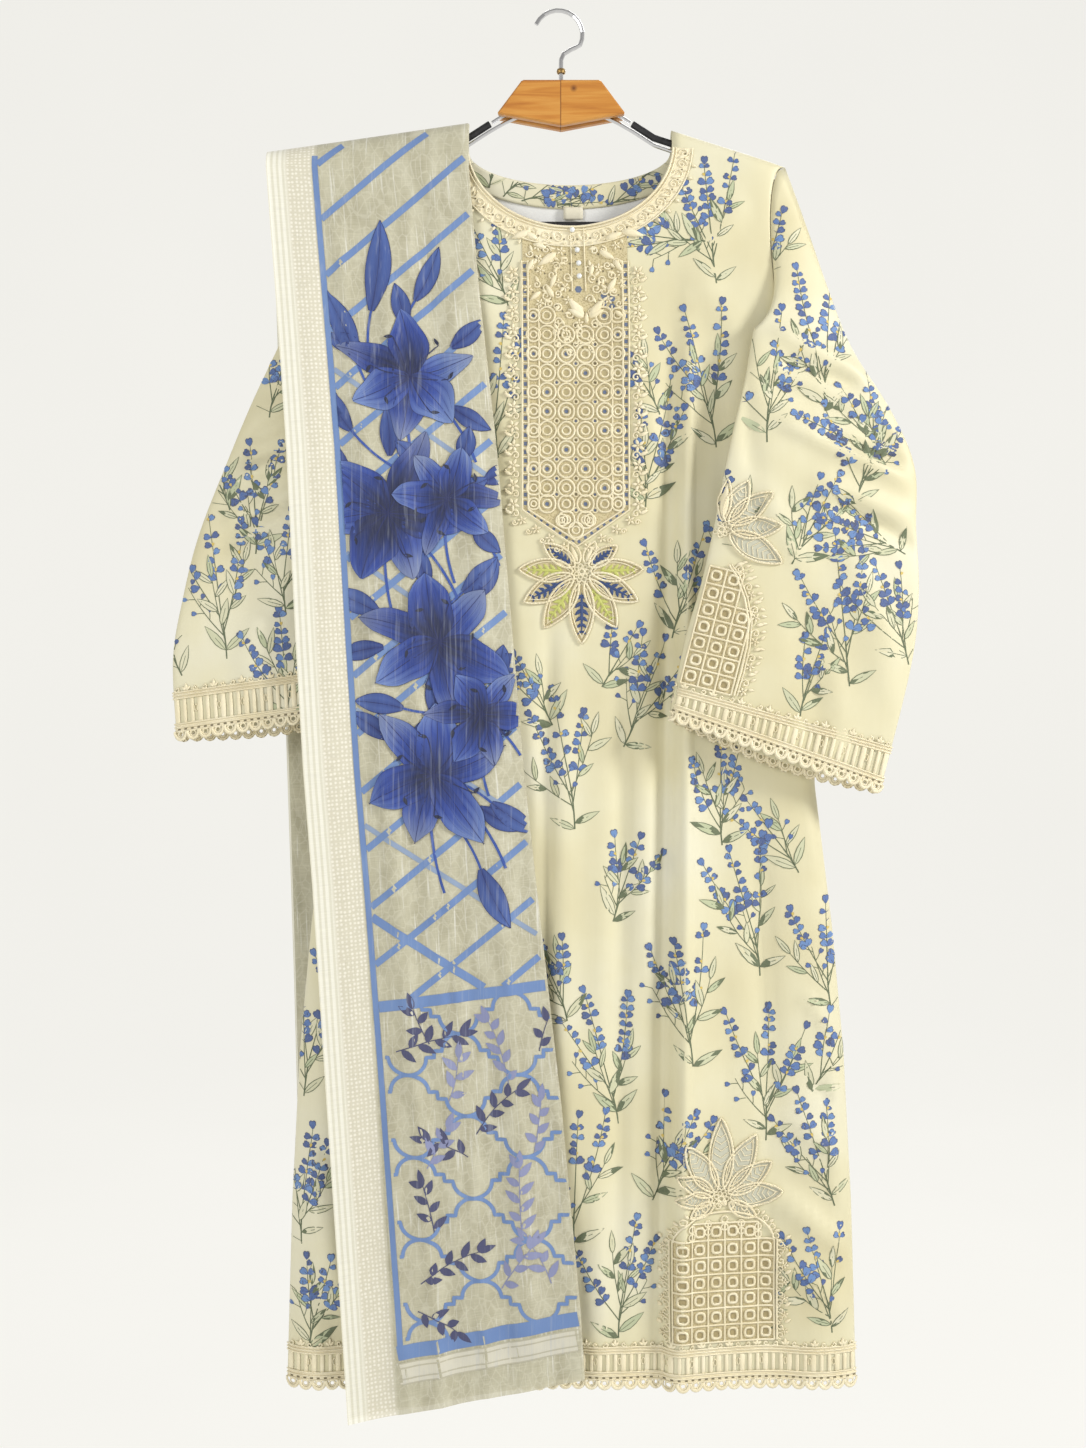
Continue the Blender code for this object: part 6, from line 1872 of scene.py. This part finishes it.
def arch_border(made, place, sides):
    """Scroll borders up an arch's sides, each at a column and up to a row."""
    for sign, i, top in sides:
        made.cord([place(i + sign * 0.16, j / 3) for j in range(3 * top + 1)], 0.0011, 0.0015)
        for j in range(top * 2):
            hand = sign if j % 2 else -sign
            made.curl(*place(i + sign * 0.38, 0.25 + 0.5 * j), 90 if j % 2 else 270, 0.0036, hand, 1.2)
            spot = place(i + sign * 0.60, 0.5 + 0.5 * j)
            if j % 2:
                made.leaf(*spot, 90 - sign * 55, 0.0068, 0.5)
            else:
                made.blossom(*spot, 0.0030, rng.uniform(0, 1.2))


def hem_motif(at, looks):
    def kept(i, j):
        return j < 6 or 1 <= i <= 4

    made, place = arch_lace("hem_arch", at, (0.0925, -1.2222), 6, 7, 0.0, kept, looks)
    arch_border(made, place, ((-1, 0, 6), (1, 6, 6)))
    for t in range(25):
        a = pi * t / 24
        spot = place(3 + 3.1 * cos(a), 5.9 + 2.1 * sin(a))
        if t % 2:
            made.ring(*spot, 0.0026, 0.0008, steps=10)
        else:
            made.leaf(*spot, 7.5 * t, 0.0056, 0.5)
    angles = [pi * t / 30 for t in range(31)]
    made.cord([place(3 + 2.95 * cos(a), 5.9 + 1.75 * sin(a)) for a in angles], 0.0011, 0.0015)
    for i in range(5):
        for j in range(2):
            made.ring(*place(1.0 + i, 6.75 + 0.45 * j - 0.25 * abs(i - 2)), 0.0030, 0.0009, steps=10)
    made.make("hem_arch_cords", looks["cord"], "hem_arch")
    stitched_flower("hem_flower", at, HEM_FLOWER, looks, ("net",) * 9)


# The sleeve arch's curved right edge, by column and row.
SLEEVE_RAIL = ((3.0, 0.0), (3.05, 1.5), (3.0, 3.0), (2.75, 4.4), (2.2, 5.6), (1.4, 6.8), (0.7, 7.4))


def sleeve_motif(at, looks):
    def kept(i, j):
        return i < 3 - max(0, j - 3) // 2

    made, place = arch_lace("sleeve_arch", at, (0.0975, -0.6215), 3, 7, radians(-14.5), kept, looks)
    route = []
    for (a, b), (c, d) in zip(SLEEVE_RAIL, SLEEVE_RAIL[1:]):
        route += [(mix(a, c, k / 6), mix(b, d, k / 6)) for k in range(6)]
    for reach, half in ((0.18, 0.0012), (0.36, 0.0008)):
        made.cord([place(i + reach, j + reach * 0.15) for i, j in route], half, 0.0015)
    for k, (i, j) in enumerate(route[1::2]):
        spot = place(i + 0.62, j + 0.12)
        if k % 3 == 0:
            made.blossom(*spot, 0.0042, rng.uniform(0, 1.2))
        elif k % 3 == 1:
            made.curl(*spot, 180, 0.0040, -1, 1.25)
        else:
            made.leaf(*spot, 10, 0.0085, 0.45)
        made.leaf(*place(i + 0.90, j + 0.30), rng.uniform(-30, 40), 0.0058, 0.5)
    made.make("sleeve_arch_cords", looks["cord"], "sleeve_arch")
    stitched_flower("sleeve_flower", at, SLEEVE_FLOWER, looks, ("net",) * 4, ((82, 0.046),))


CUFF_INNER, CUFF_OUTER = 0.022, 0.036


def all_lace(front_face, right, left, looks):
    at = on_panel(front_face)
    neck_lace(at, looks)
    yoke_lace(at, looks)
    fillings = ("green", "navy", "navy", "green", "navy", "green", "navy", "green", "navy")
    stitched_flower("yoke_flower", at, YOKE_FLOWER, looks, fillings, ((66, 0.030), (112, 0.030)))
    reach = half_width(HEM_Z) - 0.001
    band_lace("hem_lace", lambda s, h, rise: at(s - reach, HEM_Z + h, rise), 2 * reach, looks)
    hem_motif(at, looks)
    sleeve_motif(on_panel(right[1], lowest=-2.0), looks)
    turn = SLEEVE_FRONT_STEPS + 3.0
    end = SLEEVE_FRONT_STEPS + SLEEVE_EDGE_STEPS + SLEEVE_BACK_STEPS
    for side, (grid, _, _), inner in (("right", right, CUFF_INNER), ("left", left, CUFF_OUTER)):
        for face, first, last, way, heights in (
            ("front", 0.03, turn, -1, (CUFF_OUTER, inner)),
            ("back", turn + 0.2, end - 0.1, 1, (inner, CUFF_OUTER)),
        ):
            cuff_at, length = along_cuff(grid, first, last, way)
            band_lace(f"cuff_lace_{side}_{face}", cuff_at, length, looks, *heights)


# Inside the neck -------------------------------------------------------------------------------------------

# Sprays on the facing: place in metres, direction in degrees, and height.
FACING_SPRAYS = table("x z heading height", """
    -.062 -.168 50 .050, -.045 -.172 20 .045, -.012 -.176 8 .040, .022 -.170 175 .040, .034 -.176 20 .050,
    .062 -.160 60 .045, -.075 -.160 80 .040""", 1)
LABEL_X, LABEL_HALF, LABEL_TOP, LABEL_BOTTOM = 0.0030, 0.0090, -0.1780, -0.1898


def neck_strip(name, offsets, first, last, layer, finish, lowest=None):
    """A layer inside the back neck, over the layers before it. Gives its piece and its surface."""
    depth_in = CLOTH / 2 + (layer + 1) * (SEAM_GAP + LACE_PLATE) - LACE_PLATE / 2 + 0.0006
    points = []
    for offset in offsets:
        for i in range(61):
            x, z = neck_spot(mix(first, last, i / 60), offset, BACK_NECK_DROP)
            if lowest is not None:
                z = mix(z, lowest, smooth((offset - 0.012) / 0.024) ** 1.5)
            points.append(Vector((x + suit_x(z), body_depth(x, z, False) + SEAM_GAP / 2 - depth_in, z)))
    faces = cells(len(offsets), 61)
    return cloth_mesh(name, points, faces, finish, 0.0005), Surface(tree_of(points, faces), -1, 0.0005)


def neck_inside(white, cream, printed, inked):
    """The white lining, the printed facing over it, and the bare loop label, seen through the neck."""
    down = [0.012 + 0.024 * i / 20 for i in range(21)]
    lining, _ = neck_strip("back_lining", down, 150, 30, 0, white, lowest=-0.285)
    down = [0.0004 + 0.0221 * i / 8 for i in range(9)]
    facing, face = neck_strip("neck_facing", down, 160, 20, 1, printed)
    ink = Ink(face)
    for x, z, heading, height in FACING_SPRAYS:
        spray(ink, x, z, heading, height, 0.7)
    ink.make("neck_facing_print", inked, "printed_cloth")
    depth = body_depth(LABEL_X, LABEL_TOP, False) - CLOTH / 2 - 3 * (SEAM_GAP + LACE_PLATE) - 0.0002
    points = []
    for k in range(9):
        for i in range(7):
            x = LABEL_X + LABEL_HALF * (i / 3 - 1)
            bow = 0.0012 * sin(pi * k / 8) + 0.0002 * cos(9 * x / LABEL_HALF)
            points.append(Vector((x + suit_x(LABEL_TOP), depth - bow, mix(LABEL_TOP, LABEL_BOTTOM, k / 8))))
    cloth_mesh("neck_label", points, cells(9, 7), cream, 0.0004)


def repaint(name, finish):
    """Gives a CAD node that stays shown its own material."""
    materials = bpy.data.objects[name].data.materials
    materials.clear()
    materials.append(finish)


def dress():
    """Everything that is shown, built on the CAD's forms."""
    cotton, inked = printed_ground(), dye()
    white = plain_cloth("white_lining", rgb(238, 238, 236), 0.8, 900)
    looks = {
        "cord": lace(), "net": net_ground(), "ink": inked,
        "grey_net": plain_cloth("grey_net", rgb(196, 196, 178), 0.8, 1500),
        "navy": satin_thread("navy_thread", rgb(38, 54, 96), rgb(70, 92, 140)),
        "green": satin_thread("green_thread", rgb(176, 180, 84), rgb(206, 208, 128)),
        "pearl": satin_thread("pearl", rgb(222, 226, 228), rgb(244, 246, 246)),
    }
    front_grid, front_face = make_panel("kameez_front", True, cotton)
    back_grid, back_face = make_panel("kameez_back", False, cotton)
    right = make_sleeve("sleeve_right", RIGHT_SLEEVE, 1, front_grid, back_grid, cotton)
    left = make_sleeve("sleeve_left", LEFT_SLEEVE, -1, front_grid, back_grid, cotton)
    print_sprays("front_print", front_face, FRONT_SPRAYS, inked)
    print_sprays("back_print", back_face, scattered(-23, 25, -14, -124), inked)
    print_sprays("right_sleeve_print", right[1], RIGHT_SPRAYS, inked)
    print_sprays("left_sleeve_print", left[1], LEFT_SPRAYS, inked)
    print_sprays("right_sleeve_print_back", right[2], scattered(19, 34, -18, -64), inked)
    print_sprays("left_sleeve_print_back", left[2], scattered(-34, -19, -18, -64), inked)
    neck_inside(white, plain_cloth("label_tape", rgb(228, 222, 200), 0.7, 900), cotton, inked)
    all_lace(front_face, right, left, looks)
    print_dupatta(*make_dupatta(sheer()), net_dye())
    steel = metal("chrome", 60, rgb(196, 196, 198), rgb(222, 222, 224))
    brass = metal("ferrule", 90, rgb(150, 118, 70), rgb(190, 160, 105), 0.35)
    for finish, names in (
        (steel, ("hook", "arm_wire_left", "arm_wire_right")), (brass, ("hook_ferrule",)),
        (rubber(), ("hanger_bar", "arm_grip_left", "arm_grip_right")), (oak(), ("block_front", "block_back")),
    ):
        for name in names:
            repaint(name, finish)


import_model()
dress()
make_stage(floor_finish())
light_and_frame()
